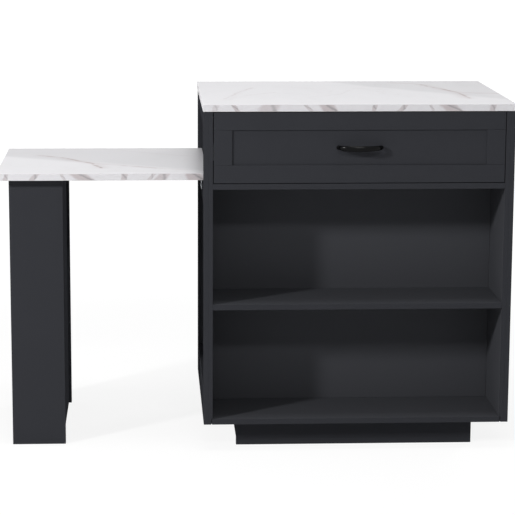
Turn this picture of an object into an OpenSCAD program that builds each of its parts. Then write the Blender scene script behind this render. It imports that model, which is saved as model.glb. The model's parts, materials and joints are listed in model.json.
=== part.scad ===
// Kitchen island unit: a cabinet with one wide drawer over two open bays at
// the front and a two-door cupboard at the back, and a lower side table that
// runs from the cabinet's left side to a boxed leg.
// Millimetres. The front faces -Y, left is -X and +Z is up. The origin lies on
// the floor, under the middle of the whole unit.

/* [Worktop] */
// Thickness of the worktop
worktop_t = 18; // [15:1:30]
// Overhang of the worktop past the cabinet on all four sides
worktop_overhang = 2; // [0:1:10]

/* [Cabinet] */
// Width of the cabinet's body over its side frames
body_w = 816; // [700:2:1000]
// Depth of the cabinet's body
body_d = 596; // [560:2:700]
// Thickness of the shelves and of the fixed boards
board_t = 15; // [15:1:20]
// Clear height of the lower open bay
lower_bay_h = 297; // [260:1:330]
// Clear height of the upper open bay
upper_bay_h = 307; // [285:1:330]
// Clear height of the opening that the drawer closes
drawer_opening_h = 190; // [185:1:215]
// Depth of the open bays
open_bay_d = 204; // [170:1:240]
// Thickness of the panel behind the open bays
partition_t = 12; // [9:1:15]
// How far the bottom board reaches into the sides
housing_reach = 2; // [1:0.5:3]
// Play at the ends of the bottom board, left as a dark joint
housing_play = 2; // [1:0.5:3]
// Depth of the rail under the worktop, behind the drawer front
stretcher_d = 80; // [70:1:100]

/* [Side frames] */
// Thickness of the panel inside each side frame
side_panel_t = 12; // [11:1:16]
// Thickness of the frame on the outside of each side
side_frame_t = 12; // [9:1:16]
// Width of the upright boards of the side frames
side_stile_w = 50; // [40:1:70]
// Height of the upper rail of the side frames
side_top_rail_h = 40; // [30:1:70]
// Height of the lower rail of the side frames
side_bottom_rail_h = 90; // [60:1:120]

/* [Plinth] */
// Height of the plinth
plinth_h = 73; // [60:1:110]
// How far the plinth is set in from the cabinet's left and right
plinth_side_inset = 89; // [60:1:120]
// How far the plinth is set back from the front and the rear
plinth_recess = 58; // [40:1:80]
// How far the front and rear plinth boards stand past the side ones
plinth_lip = 3; // [1:1:6]

/* [Framed fronts] */
// Thickness of the drawer front, the doors and the fixed rear front
front_t = 18; // [17:1:22]
// Gap round the drawer front and the doors
front_gap = 2; // [1.6:0.2:3]
// Height of the drawer front's rails
drawer_rail_h = 47; // [35:1:55]
// Width of the drawer front's uprights
drawer_stile_w = 48; // [35:1:70]
// Height of the rails and width of the uprights of the doors
door_frame_w = 60; // [45:1:75]
// Thickness of the panels in the framed fronts
front_panel_t = 9; // [8:0.5:10]
// How far those panels lie behind the face of their frame
front_panel_recess = 4; // [2:0.5:4]
// Depth of the grooves that hold those panels
groove_depth = 8; // [6:0.5:10]
// Play of a panel at the bottom of its groove
groove_play = 0.6; // [0.3:0.1:0.9]

/* [Drawer box] */
// Height of the drawer box
box_h = 130; // [100:1:140]
// Length of the drawer box behind its front
box_l = 480; // [465:1:490]
// Thickness of the drawer's sides and back
box_t = 12; // [12:1:15]
// Thickness of the drawer's bottom
box_bottom_t = 5; // [4:0.5:6]
// Height of the drawer's bottom above the edge of its sides
box_bottom_up = 10; // [8:1:20]
// Depth of the grooves round the drawer's bottom
box_groove = 5; // [3:0.5:6]
// Height of the drawer box above the board below it
box_up = 16; // [10:1:20]

/* [Drawer runners] */
// Length of the runners
runner_l = 450; // [400:1:455]
// Height of the outer rail of the runners
runner_h = 45; // [35:1:50]
// Space that a runner takes between the cabinet and the drawer
runner_t = 12.5; // [12:0.1:14]
// Thickness of the sheet steel of the runners
runner_sheet = 1.2; // [1:0.1:1.5]
// Running gap between two nested rails
runner_play = 0.3; // [0.2:0.05:0.5]

/* [Handles] */
// Distance between the two screws of a handle
handle_pitch = 112; // [96:1:128]
// How far a handle stands out
handle_reach = 34; // [28:0.5:38]
// Height of a handle's bow
handle_bow_h = 13; // [9:0.5:16]
// Thickness of a handle's bow
handle_bow_t = 7; // [6.5:0.5:9]
// Radius of a bow's long edges
handle_bow_r = 3; // [1:0.25:3.25]
// Diameter of a handle's feet
handle_foot_d = 11; // [10:0.5:14]
// Thickness of a handle's feet
handle_foot_t = 5; // [4:0.5:7]
// Diameter of the screws that hold a handle
handle_screw_d = 4; // [3:0.5:5]
// Clearance round those screws in the handle's feet
handle_screw_play = 0.1; // [0.05:0.05:0.3]

/* [Cupboard] */
// Gap between the two doors
door_centre_gap = 3; // [2:0.5:4]
// Height of the door handles' middle above the floor
door_handle_h = 560; // [400:1:600]
// Depth of the loose shelf in the cupboard
cupboard_shelf_d = 300; // [230:1:320]
// Height of the loose shelf above the bottom board
cupboard_shelf_up = 300; // [200:1:400]
// Diameter of the shelf pins
shelf_pin_d = 5; // [4:0.5:6]
// Step between the holes for the shelf pins
pin_step = 32; // [25:1:40]

/* [Door hinges] */
// Height of a hinge
hinge_h = 64; // [50:1:80]
// Distance from a hinge's end to the end of its door
hinge_inset = 70; // [50:1:100]
// Thickness of the hinge leaves
leaf_t = 1.2; // [1:0.1:1.3]
// Width of the hinge leaves
leaf_w = 25; // [15:1:30]
// Diameter of the hinge barrels
barrel_d = 7; // [6:0.1:8]
// Diameter of the hinge pins
hinge_pin_d = 3; // [2.5:0.1:3.5]
// Running gap round the hinge pins
pin_play = 0.05; // [0.03:0.01:0.1]
// Gap between the hinge barrels and the rear face of the cabinet
barrel_gap = 0.2; // [0.1:0.1:0.5]

/* [Side table] */
// Height of the table's upper face
table_h = 743; // [700:1:780]
// Thickness of the table top
table_t = 18; // [15:1:25]
// How far the table reaches out from the cabinet's side
table_out = 544; // [450:1:700]
// Gap between the table's end and the side frame round it
table_gap = 1; // [0.5:0.1:2]
// Height of the rail that carries the table's end
support_rail_h = 60; // [45:1:90]

/* [Leg] */
// Width of the leg's front and rear boards
leg_w = 142; // [110:1:180]
// Depth of the leg
leg_d = 432; // [360:1:440]
// Thickness of the leg's boards
leg_board_t = 15; // [12:1:18]
// How far the leg's side boards are set in from its edges
leg_side_inset = 8; // [4:1:15]
// How far the table stands past the leg at its free end
leg_overhang = 31; // [15:1:60]
// Thickness of the block that closes the leg's top
leg_block_t = 20; // [18:1:30]

/* [Fittings] */
// Diameter of the cam discs
cam_d = 15; // [12:0.5:16]
// Height of the cam discs
cam_h = 12; // [10:0.5:12.5]
// Distance from a cam disc's middle to the side
cam_in = 25; // [20:1:34]
// Diameter of the cam bolts
cam_bolt_d = 6; // [5:0.5:7]
// Depth of the cam bolts' thread in the sides
cam_thread_l = 9; // [7:0.5:10]
// Diameter of the dowels
dowel_d = 6; // [5:0.5:8]
// Depth of the dowels in the sides
dowel_side_l = 9; // [7:0.5:10]
// Depth of the dowels in the ends of the boards
dowel_board_l = 19; // [15:1:25]
// Diameter of the wood screws
wood_screw_d = 4; // [3:0.5:4.5]
// Leg length of the angle brackets under the table
bracket_leg = 40; // [35:1:42]
// Width of the angle brackets under the table
bracket_w = 30; // [20:1:40]
// Thickness of the angle brackets
bracket_t = 2; // [1.5:0.5:3]

/* [Hidden] */
$fn = 48;

// Levels, from the floor up
bottom_z = plinth_h;
lower_bay_z = bottom_z + board_t;
open_shelf_z = lower_bay_z + lower_bay_h;
upper_bay_z = open_shelf_z + board_t;
divider_z = upper_bay_z + upper_bay_h;
drawer_bay_z = divider_z + board_t;
body_top_z = drawer_bay_z + drawer_opening_h;
stretcher_z = body_top_z - board_t;
table_z = table_h - table_t;

// Places along X
unit_l = table_out + body_w + worktop_overhang;
unit_x0 = -unit_l / 2;
body_x0 = unit_x0 + table_out;
body_cx = body_x0 + body_w / 2;
side_t = side_panel_t + side_frame_t;
inner_x = body_w / 2 - side_t;
table_x1 = body_x0 + side_frame_t - table_gap;
leg_x0 = unit_x0 + leg_overhang;
leg_x1 = leg_x0 + leg_w;

// Places along Y. The drawer's handle stands in its front's recess and the
// doors' handles stand on their faces, so the body lies half that recess
// forward of the middle
front_y = -(body_d + front_panel_recess) / 2;
rear_y = front_y + body_d;
middle_y = (front_y + rear_y) / 2;
partition_y = front_y + open_bay_d;
cupboard_y = partition_y + partition_t;
door_back_y = rear_y - front_t;
stretcher_y = front_y + front_t + front_gap;
table_y0 = front_y + side_stile_w + table_gap;
table_y1 = rear_y - side_stile_w - table_gap;
leg_y0 = middle_y - leg_d / 2;
leg_y1 = middle_y + leg_d / 2;
plinth_y0 = front_y + plinth_recess;
plinth_y1 = rear_y - plinth_recess;

// Drawer
drawer_front_w = 2 * (inner_x - front_gap);
drawer_front_h = drawer_opening_h - 2 * front_gap;
drawer_front_z = drawer_bay_z + front_gap;
box_y0 = front_y + front_t;
box_y1 = box_y0 + box_l;
box_z = drawer_bay_z + box_up;
box_x = inner_x - runner_t;
box_bottom_z = box_z + box_bottom_up;
box_bottom_play = 0.3;
drawer_handle_z = drawer_front_z + drawer_front_h / 2;

// Screws of the handles: how deep they go into the feet, the holes that they
// pass through, and the diameter and height of their heads
handle_screw_in = handle_foot_t - 1;
handle_hole_d = handle_screw_d + 0.5;
handle_screw_head = [2 * handle_screw_d, 2.5];

// Runners. Each rail nests in the next with a running gap
runner_set_back = 4;
runner_y = front_y + front_t + runner_set_back;
runner_z = box_z + box_h / 2;
runner_step = runner_sheet + runner_play;
runner_cover = 9;

// Doors
door_w = inner_x - front_gap - door_centre_gap / 2;
door_h = divider_z - lower_bay_z - 2 * front_gap;
door_z = lower_bay_z + front_gap;
door_handle_x = door_centre_gap / 2 + door_frame_w / 2;
pin_x = inner_x - front_gap / 2;
pin_y = rear_y + barrel_d / 2 + barrel_gap;
hinge_levels = [door_z + hinge_inset, door_z + door_h - hinge_inset - hinge_h];
knuckle_count = 5;
knuckle_h = hinge_h / knuckle_count;
knuckle_play = 0.1;

// Loose shelf in the cupboard, and the pins under it
cupboard_shelf_play = 1;
cupboard_shelf_z = lower_bay_z + cupboard_shelf_up;
pin_inset = 52;
pin_ys = [cupboard_y + pin_inset, cupboard_y + cupboard_shelf_d - pin_inset];
pin_hole_l = 9;
pin_out = 8;
pin_flange_d = shelf_pin_d + 4;
pin_flange_t = 1.5;

// Cam fittings: underside of their board, then their two places along Y, set in
// from the edges of the board
cam_inset = 60;
cam_shelf_inset = 45;
cam_stretcher_inset = 20;
cam_rows = [
    [bottom_z, front_y + cam_inset, rear_y - cam_inset],
    [open_shelf_z, front_y + cam_shelf_inset, partition_y - cam_shelf_inset],
    [divider_z, front_y + cam_inset, rear_y - cam_inset],
    [stretcher_z, stretcher_y + cam_stretcher_inset, stretcher_y + stretcher_d - cam_stretcher_inset]
];
cam_thread_d = cam_bolt_d - 1;
cam_hole_d = cam_bolt_d + 1;
cam_play = 0.1;
// Length, width and depth of the slots of a cam disc
cam_slot = [9, 1.6, 2];

// Dowels: places along Y and Z, the same on both sides
dowel_panel_inset = 60;
dowel_fascia_inset = 35;
fascia_y = rear_y - front_t / 2;
dowel_places = [
    [middle_y, bottom_z + board_t / 2],
    [middle_y, divider_z + board_t / 2],
    [partition_y + partition_t / 2, lower_bay_z + dowel_panel_inset],
    [partition_y + partition_t / 2, divider_z - dowel_panel_inset],
    [fascia_y, drawer_bay_z + dowel_fascia_inset],
    [fascia_y, body_top_z - dowel_fascia_inset]
];

// Screws under the table, in its brackets and in the block of its leg
bracket_pitch = 260;
bracket_ys = [middle_y - bracket_pitch / 2, middle_y + bracket_pitch / 2];
bracket_holes = [bracket_leg * 0.4, bracket_leg * 0.75];
screw_head_h = 2;
bracket_screw_l = 11;
block_screw_in = 12;
block_screw_l = leg_block_t + block_screw_in;
block_screw_pitch = [56, leg_d * 2 / 3];
block_screw_xs = [leg_x0 + (leg_w - block_screw_pitch[0]) / 2, leg_x0 + (leg_w + block_screw_pitch[0]) / 2];
block_screw_ys = [middle_y - block_screw_pitch[1] / 2, middle_y + block_screw_pitch[1] / 2];

// Door catches: width, depth and height, and how far they are from the middle
catch_size = [40, 20, 12];
catch_x = 55;
catch_play = 0.3;

// Colours
paint = [0.20, 0.21, 0.23];
marble = [0.87, 0.87, 0.88];
box_colour = [0.80, 0.79, 0.76];
steel = [0.72, 0.73, 0.75];
black = [0.06, 0.06, 0.07];
beech = [0.78, 0.64, 0.46];
cut = 1;

LEFT = -1;
RIGHT = 1;

// ---- Helpers ----

// A block from one corner to the opposite one
module block(from, to) {
    translate(from) cube(to - from);
}

// Children drawn for the right half of the cabinet, placed on one side of it
module on_side(side) {
    translate([body_cx, 0, 0]) mirror([side == LEFT ? 1 : 0, 0, 0]) children();
}

// A rounded rectangle round the origin, of squares and circles alone
module rounded_rect(w, h, r) {
    square([w - 2 * r, h], center = true);
    square([w, h - 2 * r], center = true);
    for (x = [-1, 1], y = [-1, 1])
        translate([x * (w / 2 - r), y * (h / 2 - r)]) circle(r = r);
}

// ---- Worktop ----

module worktop() {
    color(marble)
        block([body_x0 - worktop_overhang, front_y - worktop_overhang, body_top_z],
              [body_x0 + body_w + worktop_overhang, rear_y + worktop_overhang, body_top_z + worktop_t]);
}

// ---- Cabinet sides ----

module side_panel(side) {
    color(paint) on_side(side) difference() {
        block([inner_x, front_y, bottom_z], [inner_x + side_panel_t, rear_y, body_top_z]);
        block([inner_x - cut, front_y - cut, bottom_z - cut],
              [inner_x + housing_reach + housing_play, rear_y + cut, lower_bay_z]);
        cam_threads();
        dowel_row();
        pin_holes();
    }
}

module side_stile(side, y) {
    color(paint) on_side(side)
        block([body_w / 2 - side_frame_t, y, bottom_z], [body_w / 2, y + side_stile_w, body_top_z]);
}

module side_rail(side, z, h) {
    color(paint) on_side(side)
        block([body_w / 2 - side_frame_t, front_y + side_stile_w, z],
              [body_w / 2, rear_y - side_stile_w, z + h]);
}

module pin_holes() {
    for (y = pin_ys, i = [-1:1])
        translate([inner_x - cut, y, cupboard_shelf_z - shelf_pin_d / 2 + i * pin_step])
            rotate([0, 90, 0]) cylinder(d = shelf_pin_d, h = pin_hole_l + cut);
}

// ---- Boards between the sides ----

// Cuts for the cams and dowels at both ends of a board
module fitting_cuts() {
    for (side = [LEFT, RIGHT]) on_side(side) {
        cam_pockets();
        dowel_row();
    }
}

module cross_board(y0, y1, z, reach = 0) {
    color(paint) difference() {
        translate([body_cx, 0, 0])
            block([-inner_x - reach, y0, z], [inner_x + reach, y1, z + board_t]);
        fitting_cuts();
    }
}

module bottom_board() cross_board(front_y, rear_y, bottom_z, housing_reach);
module open_shelf() cross_board(front_y, partition_y, open_shelf_z);
module divider_board() cross_board(front_y, rear_y, divider_z);
module front_stretcher() cross_board(stretcher_y, stretcher_y + stretcher_d, stretcher_z);

module partition_panel() {
    color(paint) difference() {
        translate([body_cx, 0, 0])
            block([-inner_x, partition_y, lower_bay_z], [inner_x, cupboard_y, divider_z]);
        fitting_cuts();
    }
}

// Fixed front over the doors, sunk like the drawer front opposite it
module rear_fascia() {
    color(paint) difference() {
        translate([body_cx, 0, 0])
            block([-inner_x, door_back_y, drawer_bay_z], [inner_x, rear_y, body_top_z]);
        translate([body_cx, 0, 0])
            block([-inner_x + drawer_stile_w, rear_y - front_panel_recess, drawer_bay_z + drawer_rail_h],
                  [inner_x - drawer_stile_w, rear_y + cut, body_top_z - drawer_rail_h]);
        fitting_cuts();
    }
}

// ---- Plinth ----

module plinth_board(y) {
    color(paint) translate([body_cx, 0, 0])
        block([-body_w / 2 + plinth_side_inset, y, 0],
              [body_w / 2 - plinth_side_inset, y + board_t, plinth_h]);
}

module plinth_side_boards() {
    outer_x = body_w / 2 - plinth_side_inset - plinth_lip;
    color(paint) for (side = [LEFT, RIGHT]) on_side(side)
        block([outer_x - board_t, plinth_y0 + board_t, 0], [outer_x, plinth_y1 - board_t, plinth_h]);
}

// ---- Fittings inside the cabinet ----

module cam_pockets() {
    for (row = cam_rows, y = [row[1], row[2]]) {
        translate([inner_x - cam_in, y, row[0] - cut])
            cylinder(d = cam_d + 2 * cam_play, h = cam_h + cam_play + cut);
        translate([inner_x - cam_in, y, row[0] + board_t / 2])
            rotate([0, 90, 0]) cylinder(d = cam_hole_d, h = cam_in + housing_reach + cut);
    }
}

module cam_threads() {
    for (row = cam_rows, y = [row[1], row[2]])
        translate([inner_x - cut, y, row[0] + board_t / 2])
            rotate([0, 90, 0]) cylinder(d = cam_thread_d, h = cam_thread_l + cut);
}

module cam_discs() {
    color(steel) for (side = [LEFT, RIGHT]) on_side(side)
        for (row = cam_rows, y = [row[1], row[2]])
            translate([inner_x - cam_in, y, row[0]]) difference() {
                cylinder(d = cam_d, h = cam_h);
                translate([0, 0, board_t / 2]) rotate([0, 90, 0]) cylinder(d = cam_hole_d, h = cam_d);
                for (turn = [0, 90]) rotate([0, 0, turn])
                    translate([-cam_slot[0] / 2, -cam_slot[1] / 2, -cut])
                        cube([cam_slot[0], cam_slot[1], cam_slot[2] + cut]);
            }
}

module cam_bolts() {
    shank_l = cam_in - 1;
    color(steel) for (side = [LEFT, RIGHT]) on_side(side)
        for (row = cam_rows, y = [row[1], row[2]]) {
            // The bottom board's housing lets the shank go on to the thread
            shank_end = row[0] == bottom_z ? housing_reach + housing_play : 0;
            translate([inner_x - shank_l, y, row[0] + board_t / 2]) rotate([0, 90, 0]) {
                cylinder(d = cam_bolt_d, h = shank_l + shank_end);
                cylinder(d = cam_thread_d, h = shank_l + cam_thread_l);
            }
        }
}

module dowel_row() {
    for (place = dowel_places)
        translate([inner_x - dowel_board_l, place[0], place[1]])
            rotate([0, 90, 0]) cylinder(d = dowel_d, h = dowel_board_l + dowel_side_l);
}

module dowels() {
    color(beech) for (side = [LEFT, RIGHT]) on_side(side) dowel_row();
}

module cupboard_shelf() {
    color(paint) translate([body_cx, 0, 0])
        block([-inner_x + cupboard_shelf_play, cupboard_y, cupboard_shelf_z],
              [inner_x - cupboard_shelf_play, cupboard_y + cupboard_shelf_d, cupboard_shelf_z + board_t]);
}

module shelf_pins() {
    color(steel) for (side = [LEFT, RIGHT]) on_side(side)
        for (y = pin_ys)
            translate([inner_x, y, cupboard_shelf_z - shelf_pin_d / 2]) rotate([0, -90, 0]) {
                translate([0, 0, -pin_hole_l]) cylinder(d = shelf_pin_d, h = pin_hole_l + pin_out);
                intersection() {
                    cylinder(d = pin_flange_d, h = pin_flange_t);
                    block([-pin_flange_d, -pin_flange_d, 0], [shelf_pin_d / 2, pin_flange_d, pin_flange_t]);
                }
            }
}

module door_catches() {
    color(black) for (side = [LEFT, RIGHT]) on_side(side)
        block([catch_x - catch_size[0] / 2, door_back_y - catch_play - catch_size[1], divider_z - catch_size[2]],
              [catch_x + catch_size[0] / 2, door_back_y - catch_play, divider_z]);
}

// ---- Side table ----

// Children at each screw of the brackets, with +Z the way the screw points
module at_bracket_screws() {
    for (y = bracket_ys, d = bracket_holes) {
        translate([body_x0 - d, y, table_z - bracket_t]) children();
        translate([body_x0 - bracket_t, y, table_z - d]) rotate([0, 90, 0]) children();
    }
}

module at_block_screws() {
    for (x = block_screw_xs, y = block_screw_ys)
        translate([x, y, table_z - leg_block_t]) children();
}

module screw_holes() {
    at_bracket_screws() cylinder(d = wood_screw_d, h = bracket_t + bracket_screw_l);
    at_block_screws() cylinder(d = wood_screw_d, h = block_screw_l);
}

module wood_screw(l) {
    cylinder(d = wood_screw_d, h = l);
    translate([0, 0, -screw_head_h]) cylinder(d = 2 * wood_screw_d, h = screw_head_h);
}

module table_screws() {
    color(steel) {
        at_bracket_screws() wood_screw(bracket_t + bracket_screw_l);
        at_block_screws() wood_screw(block_screw_l);
    }
}

module table_top() {
    color(marble) difference() {
        block([unit_x0, table_y0, table_z], [table_x1, table_y1, table_h]);
        screw_holes();
    }
}

module table_support_rail() {
    color(paint) difference() {
        block([body_x0, front_y + side_stile_w, table_z - support_rail_h],
              [body_x0 + side_frame_t, rear_y - side_stile_w, table_z]);
        screw_holes();
    }
}

module table_brackets() {
    color(steel) difference() {
        for (y = bracket_ys) {
            block([body_x0 - bracket_t, y - bracket_w / 2, table_z - bracket_leg],
                  [body_x0, y + bracket_w / 2, table_z]);
            block([body_x0 - bracket_leg, y - bracket_w / 2, table_z - bracket_t],
                  [body_x0, y + bracket_w / 2, table_z]);
        }
        screw_holes();
    }
}

// ---- Leg ----

module leg_face_board(y) {
    color(paint) block([leg_x0, y, 0], [leg_x1, y + leg_board_t, table_z]);
}

module leg_side_board(x) {
    color(paint) block([x, leg_y0 + leg_board_t, 0], [x + leg_board_t, leg_y1 - leg_board_t, table_z]);
}

module leg_top_block() {
    wall = leg_side_inset + leg_board_t;
    color(beech) difference() {
        block([leg_x0 + wall, leg_y0 + leg_board_t, table_z - leg_block_t],
              [leg_x1 - wall, leg_y1 - leg_board_t, table_z]);
        screw_holes();
    }
}

// ---- Framed fronts: local frame, face at y = 0 towards -Y ----

// A rail with the groove along its upper edge
module front_rail(w, h) {
    difference() {
        cube([w, front_t, h]);
        translate([-cut, front_panel_recess, h - groove_depth])
            cube([w + 2 * cut, front_panel_t, groove_depth + cut]);
    }
}

// An upright with the groove along its right edge and a tenon at each end
module front_stile(w, h) {
    difference() {
        cube([w, front_t, h]);
        translate([w - groove_depth, front_panel_recess, -cut])
            cube([groove_depth + cut, front_panel_t, h + 2 * cut]);
    }
    translate([0, front_panel_recess, -groove_depth])
        cube([w - groove_depth, front_panel_t, h + 2 * groove_depth]);
}

module front_panel(w, h, frame_w, frame_h) {
    held = groove_depth - groove_play;
    translate([frame_w - held, front_panel_recess, frame_h - held])
        cube([w - 2 * (frame_w - held), front_panel_t, h - 2 * (frame_h - held)]);
}

// The upper rail: the lower one turned over
module front_top_rail(w, h, rail_h) {
    translate([0, 0, h]) mirror([0, 0, 1]) front_rail(w, rail_h);
}

module front_right_stile(w, h, stile_w) {
    translate([w, 0, 0]) mirror([1, 0, 0]) front_stile(stile_w, h);
}

// ---- Drawer front ----

module at_drawer_front() {
    translate([body_cx - drawer_front_w / 2, front_y, drawer_front_z]) children();
}

module drawer_top_rail() {
    color(paint) at_drawer_front() front_top_rail(drawer_front_w, drawer_front_h, drawer_rail_h);
}

module drawer_bottom_rail() {
    color(paint) difference() {
        at_drawer_front() front_rail(drawer_front_w, drawer_rail_h);
        drawer_bottom_groove();
    }
}

module drawer_left_stile() {
    color(paint) at_drawer_front() translate([0, 0, drawer_rail_h])
        front_stile(drawer_stile_w, drawer_front_h - 2 * drawer_rail_h);
}

module drawer_right_stile() {
    color(paint) at_drawer_front() translate([0, 0, drawer_rail_h])
        front_right_stile(drawer_front_w, drawer_front_h - 2 * drawer_rail_h, drawer_stile_w);
}

module at_drawer_handle() {
    translate([body_cx, front_y + front_panel_recess, drawer_handle_z]) children();
}

module drawer_front_panel() {
    color(paint) difference() {
        at_drawer_front() front_panel(drawer_front_w, drawer_front_h, drawer_stile_w, drawer_rail_h);
        at_drawer_handle() handle_holes(front_panel_t);
    }
}

// ---- Drawer box ----

// The space of the bottom in the grooves round it
module drawer_bottom_groove() {
    reach = box_x - box_t + box_groove;
    translate([body_cx, 0, 0])
        block([-reach, box_y0 - box_groove, box_bottom_z],
              [reach, box_y1 - box_t + box_groove, box_bottom_z + box_bottom_t]);
}

module drawer_side(side) {
    color(box_colour) difference() {
        on_side(side) block([box_x - box_t, box_y0, box_z], [box_x, box_y1, box_z + box_h]);
        drawer_bottom_groove();
    }
}

module drawer_back() {
    color(box_colour) difference() {
        translate([body_cx, 0, 0])
            block([-box_x + box_t, box_y1 - box_t, box_z], [box_x - box_t, box_y1, box_z + box_h]);
        drawer_bottom_groove();
    }
}

module drawer_bottom() {
    reach = box_x - box_t + box_groove - box_bottom_play;
    color(box_colour) translate([body_cx, 0, 0])
        block([-reach, box_y0 - box_groove + box_bottom_play, box_bottom_z],
              [reach, box_y1 - box_t + box_groove - box_bottom_play, box_bottom_z + box_bottom_t]);
}

// ---- Runners ----

// A channel along Y, open towards +X, centred on z = 0
module channel(h, d) {
    rotate([90, 0, 180]) mirror([1, 0, 0]) linear_extrude(height = runner_l)
        difference() {
            translate([0, -h / 2]) square([d, h]);
            translate([runner_sheet, -h / 2 + runner_sheet]) square([d, h - 2 * runner_sheet]);
        }
}

module cabinet_runner(side) {
    color(steel) on_side(side) translate([inner_x, runner_y, runner_z])
        mirror([1, 0, 0]) channel(runner_h, runner_cover);
}

module middle_runner(side) {
    color(steel) on_side(side) translate([inner_x - runner_step, runner_y, runner_z])
        mirror([1, 0, 0]) channel(runner_h - 2 * runner_step, runner_cover);
}

module drawer_runner(side) {
    color(steel) on_side(side) translate([box_x, runner_y, runner_z])
        channel(runner_h - 4 * runner_step, runner_cover);
}

// ---- Handles: local frame, feet on y = 0, bow towards -Y along X ----

module handle_holes(l) {
    for (x = [-1, 1]) translate([x * handle_pitch / 2, -cut, 0])
        rotate([-90, 0, 0]) cylinder(d = handle_hole_d, h = l + 2 * cut);
}

module handle(panel_t) {
    half = handle_pitch / 2;
    rise = handle_reach - handle_bow_t / 2 - handle_foot_t / 2;
    bend_r = (half * half + rise * rise) / (2 * rise);
    half_angle = asin(half / bend_r);
    difference() {
        union() {
            translate([0, bend_r - handle_reach + handle_bow_t / 2, 0]) rotate([0, 0, -90 - half_angle])
                rotate_extrude(angle = 2 * half_angle, $fn = 180)
                    translate([bend_r, 0]) rounded_rect(handle_bow_t, handle_bow_h, handle_bow_r);
            for (x = [-1, 1]) translate([x * half, 0, 0])
                rotate([90, 0, 0]) cylinder(d = handle_foot_d, h = handle_foot_t);
        }
        for (x = [-1, 1]) translate([x * half, cut, 0])
            rotate([90, 0, 0])
                cylinder(d = handle_screw_d + 2 * handle_screw_play, h = handle_screw_in + handle_screw_play + cut);
        // The bow's ends stop short of the face that the feet stand on
        translate([-handle_pitch, 0, -handle_bow_h]) cube([2 * handle_pitch, handle_pitch, 2 * handle_bow_h]);
    }
    for (x = [-1, 1]) translate([x * half, panel_t, 0]) rotate([90, 0, 0]) {
        cylinder(d = handle_screw_d, h = panel_t + handle_screw_in);
        translate([0, 0, -handle_screw_head[1]]) cylinder(d = handle_screw_head[0], h = handle_screw_head[1]);
    }
}

module drawer_handle() {
    color(black) at_drawer_handle() handle(front_panel_t);
}

// ---- Doors ----

module at_door(side) {
    on_side(side) translate([door_centre_gap / 2, rear_y, door_z]) mirror([0, 1, 0]) children();
}

module at_door_handle(side) {
    on_side(side) translate([door_handle_x, rear_y, door_handle_h]) mirror([0, 1, 0])
        rotate([0, 90, 0]) children();
}

module door_frame(side) {
    upright_h = door_h - 2 * door_frame_w;
    color(paint) difference() {
        union() {
            at_door(side) {
                front_rail(door_w, door_frame_w);
                front_top_rail(door_w, door_h, door_frame_w);
                translate([0, 0, door_frame_w]) front_stile(door_frame_w, upright_h);
                translate([0, 0, door_frame_w]) front_right_stile(door_w, upright_h, door_frame_w);
            }
        }
        at_door_handle(side) handle_holes(front_t);
        door_leaf_mortises(side);
    }
}

module door_panel(side) {
    color(paint) at_door(side) front_panel(door_w, door_h, door_frame_w, door_frame_w);
}

module door_handle(side) {
    color(black) at_door_handle(side) handle(front_t);
}

// ---- Hinges: knuckles 0, 2 and 4 on the cabinet, 1 and 3 on the door ----

module leaf_plate(x, z) {
    block([x, rear_y - leaf_w, z], [x + leaf_t, rear_y, z + hinge_h]);
}

// Knuckles of one leaf, each with the tongue that ties it to the plate
module knuckles(x, z, picks) {
    for (i = picks) {
        z0 = z + i * knuckle_h + knuckle_play;
        h = knuckle_h - 2 * knuckle_play;
        block([x, rear_y, z0], [x + leaf_t, pin_y, z0 + h]);
        translate([pin_x, pin_y, z0]) cylinder(d = barrel_d, h = h);
    }
}

module cabinet_hinge_leaves() {
    color(steel) for (side = [LEFT, RIGHT], z = hinge_levels) on_side(side) {
        leaf_plate(inner_x - leaf_t, z);
        knuckles(inner_x - leaf_t, z, [0, 2, 4]);
        translate([pin_x, pin_y, z]) cylinder(d = hinge_pin_d, h = hinge_h);
    }
}

module door_hinge_leaves(side) {
    x = inner_x - front_gap - leaf_t;
    color(steel) on_side(side) for (z = hinge_levels) difference() {
        union() {
            leaf_plate(x, z);
            knuckles(x, z, [1, 3]);
        }
        translate([pin_x, pin_y, z - cut]) cylinder(d = hinge_pin_d + 2 * pin_play, h = hinge_h + 2 * cut);
    }
}

module door_leaf_mortises(side) {
    x = inner_x - front_gap - leaf_t;
    on_side(side) for (z = hinge_levels)
        block([x, rear_y - leaf_w, z], [x + leaf_t + cut, rear_y + cut, z + hinge_h]);
}

// ---- Drawing ----

worktop();
side_panel(LEFT);  // left_side_panel
side_stile(LEFT, front_y);  // left_front_stile
side_stile(LEFT, rear_y - side_stile_w);  // left_rear_stile
side_rail(LEFT, body_top_z - side_top_rail_h, side_top_rail_h);  // left_top_rail
side_rail(LEFT, bottom_z, side_bottom_rail_h);  // left_bottom_rail
side_panel(RIGHT);  // right_side_panel
side_stile(RIGHT, front_y);  // right_front_stile
side_stile(RIGHT, rear_y - side_stile_w);  // right_rear_stile
side_rail(RIGHT, body_top_z - side_top_rail_h, side_top_rail_h);  // right_top_rail
side_rail(RIGHT, bottom_z, side_bottom_rail_h);  // right_bottom_rail
bottom_board();
open_shelf();
divider_board();
partition_panel();
rear_fascia();
front_stretcher();
plinth_board(plinth_y0);  // plinth_front_board
plinth_board(plinth_y1 - board_t);  // plinth_rear_board
plinth_side_boards();
cupboard_shelf();
shelf_pins();
cam_discs();
cam_bolts();
dowels();
door_catches();
table_top();
table_support_rail();
table_brackets();
table_screws();
leg_face_board(leg_y0);  // leg_front_board
leg_face_board(leg_y1 - leg_board_t);  // leg_rear_board
leg_side_board(leg_x0 + leg_side_inset);  // leg_left_board
leg_side_board(leg_x1 - leg_side_inset - leg_board_t);  // leg_right_board
leg_top_block();
cabinet_runner(LEFT);  // left_cabinet_runner
cabinet_runner(RIGHT);  // right_cabinet_runner
middle_runner(LEFT);  // left_middle_runner
middle_runner(RIGHT);  // right_middle_runner
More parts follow.
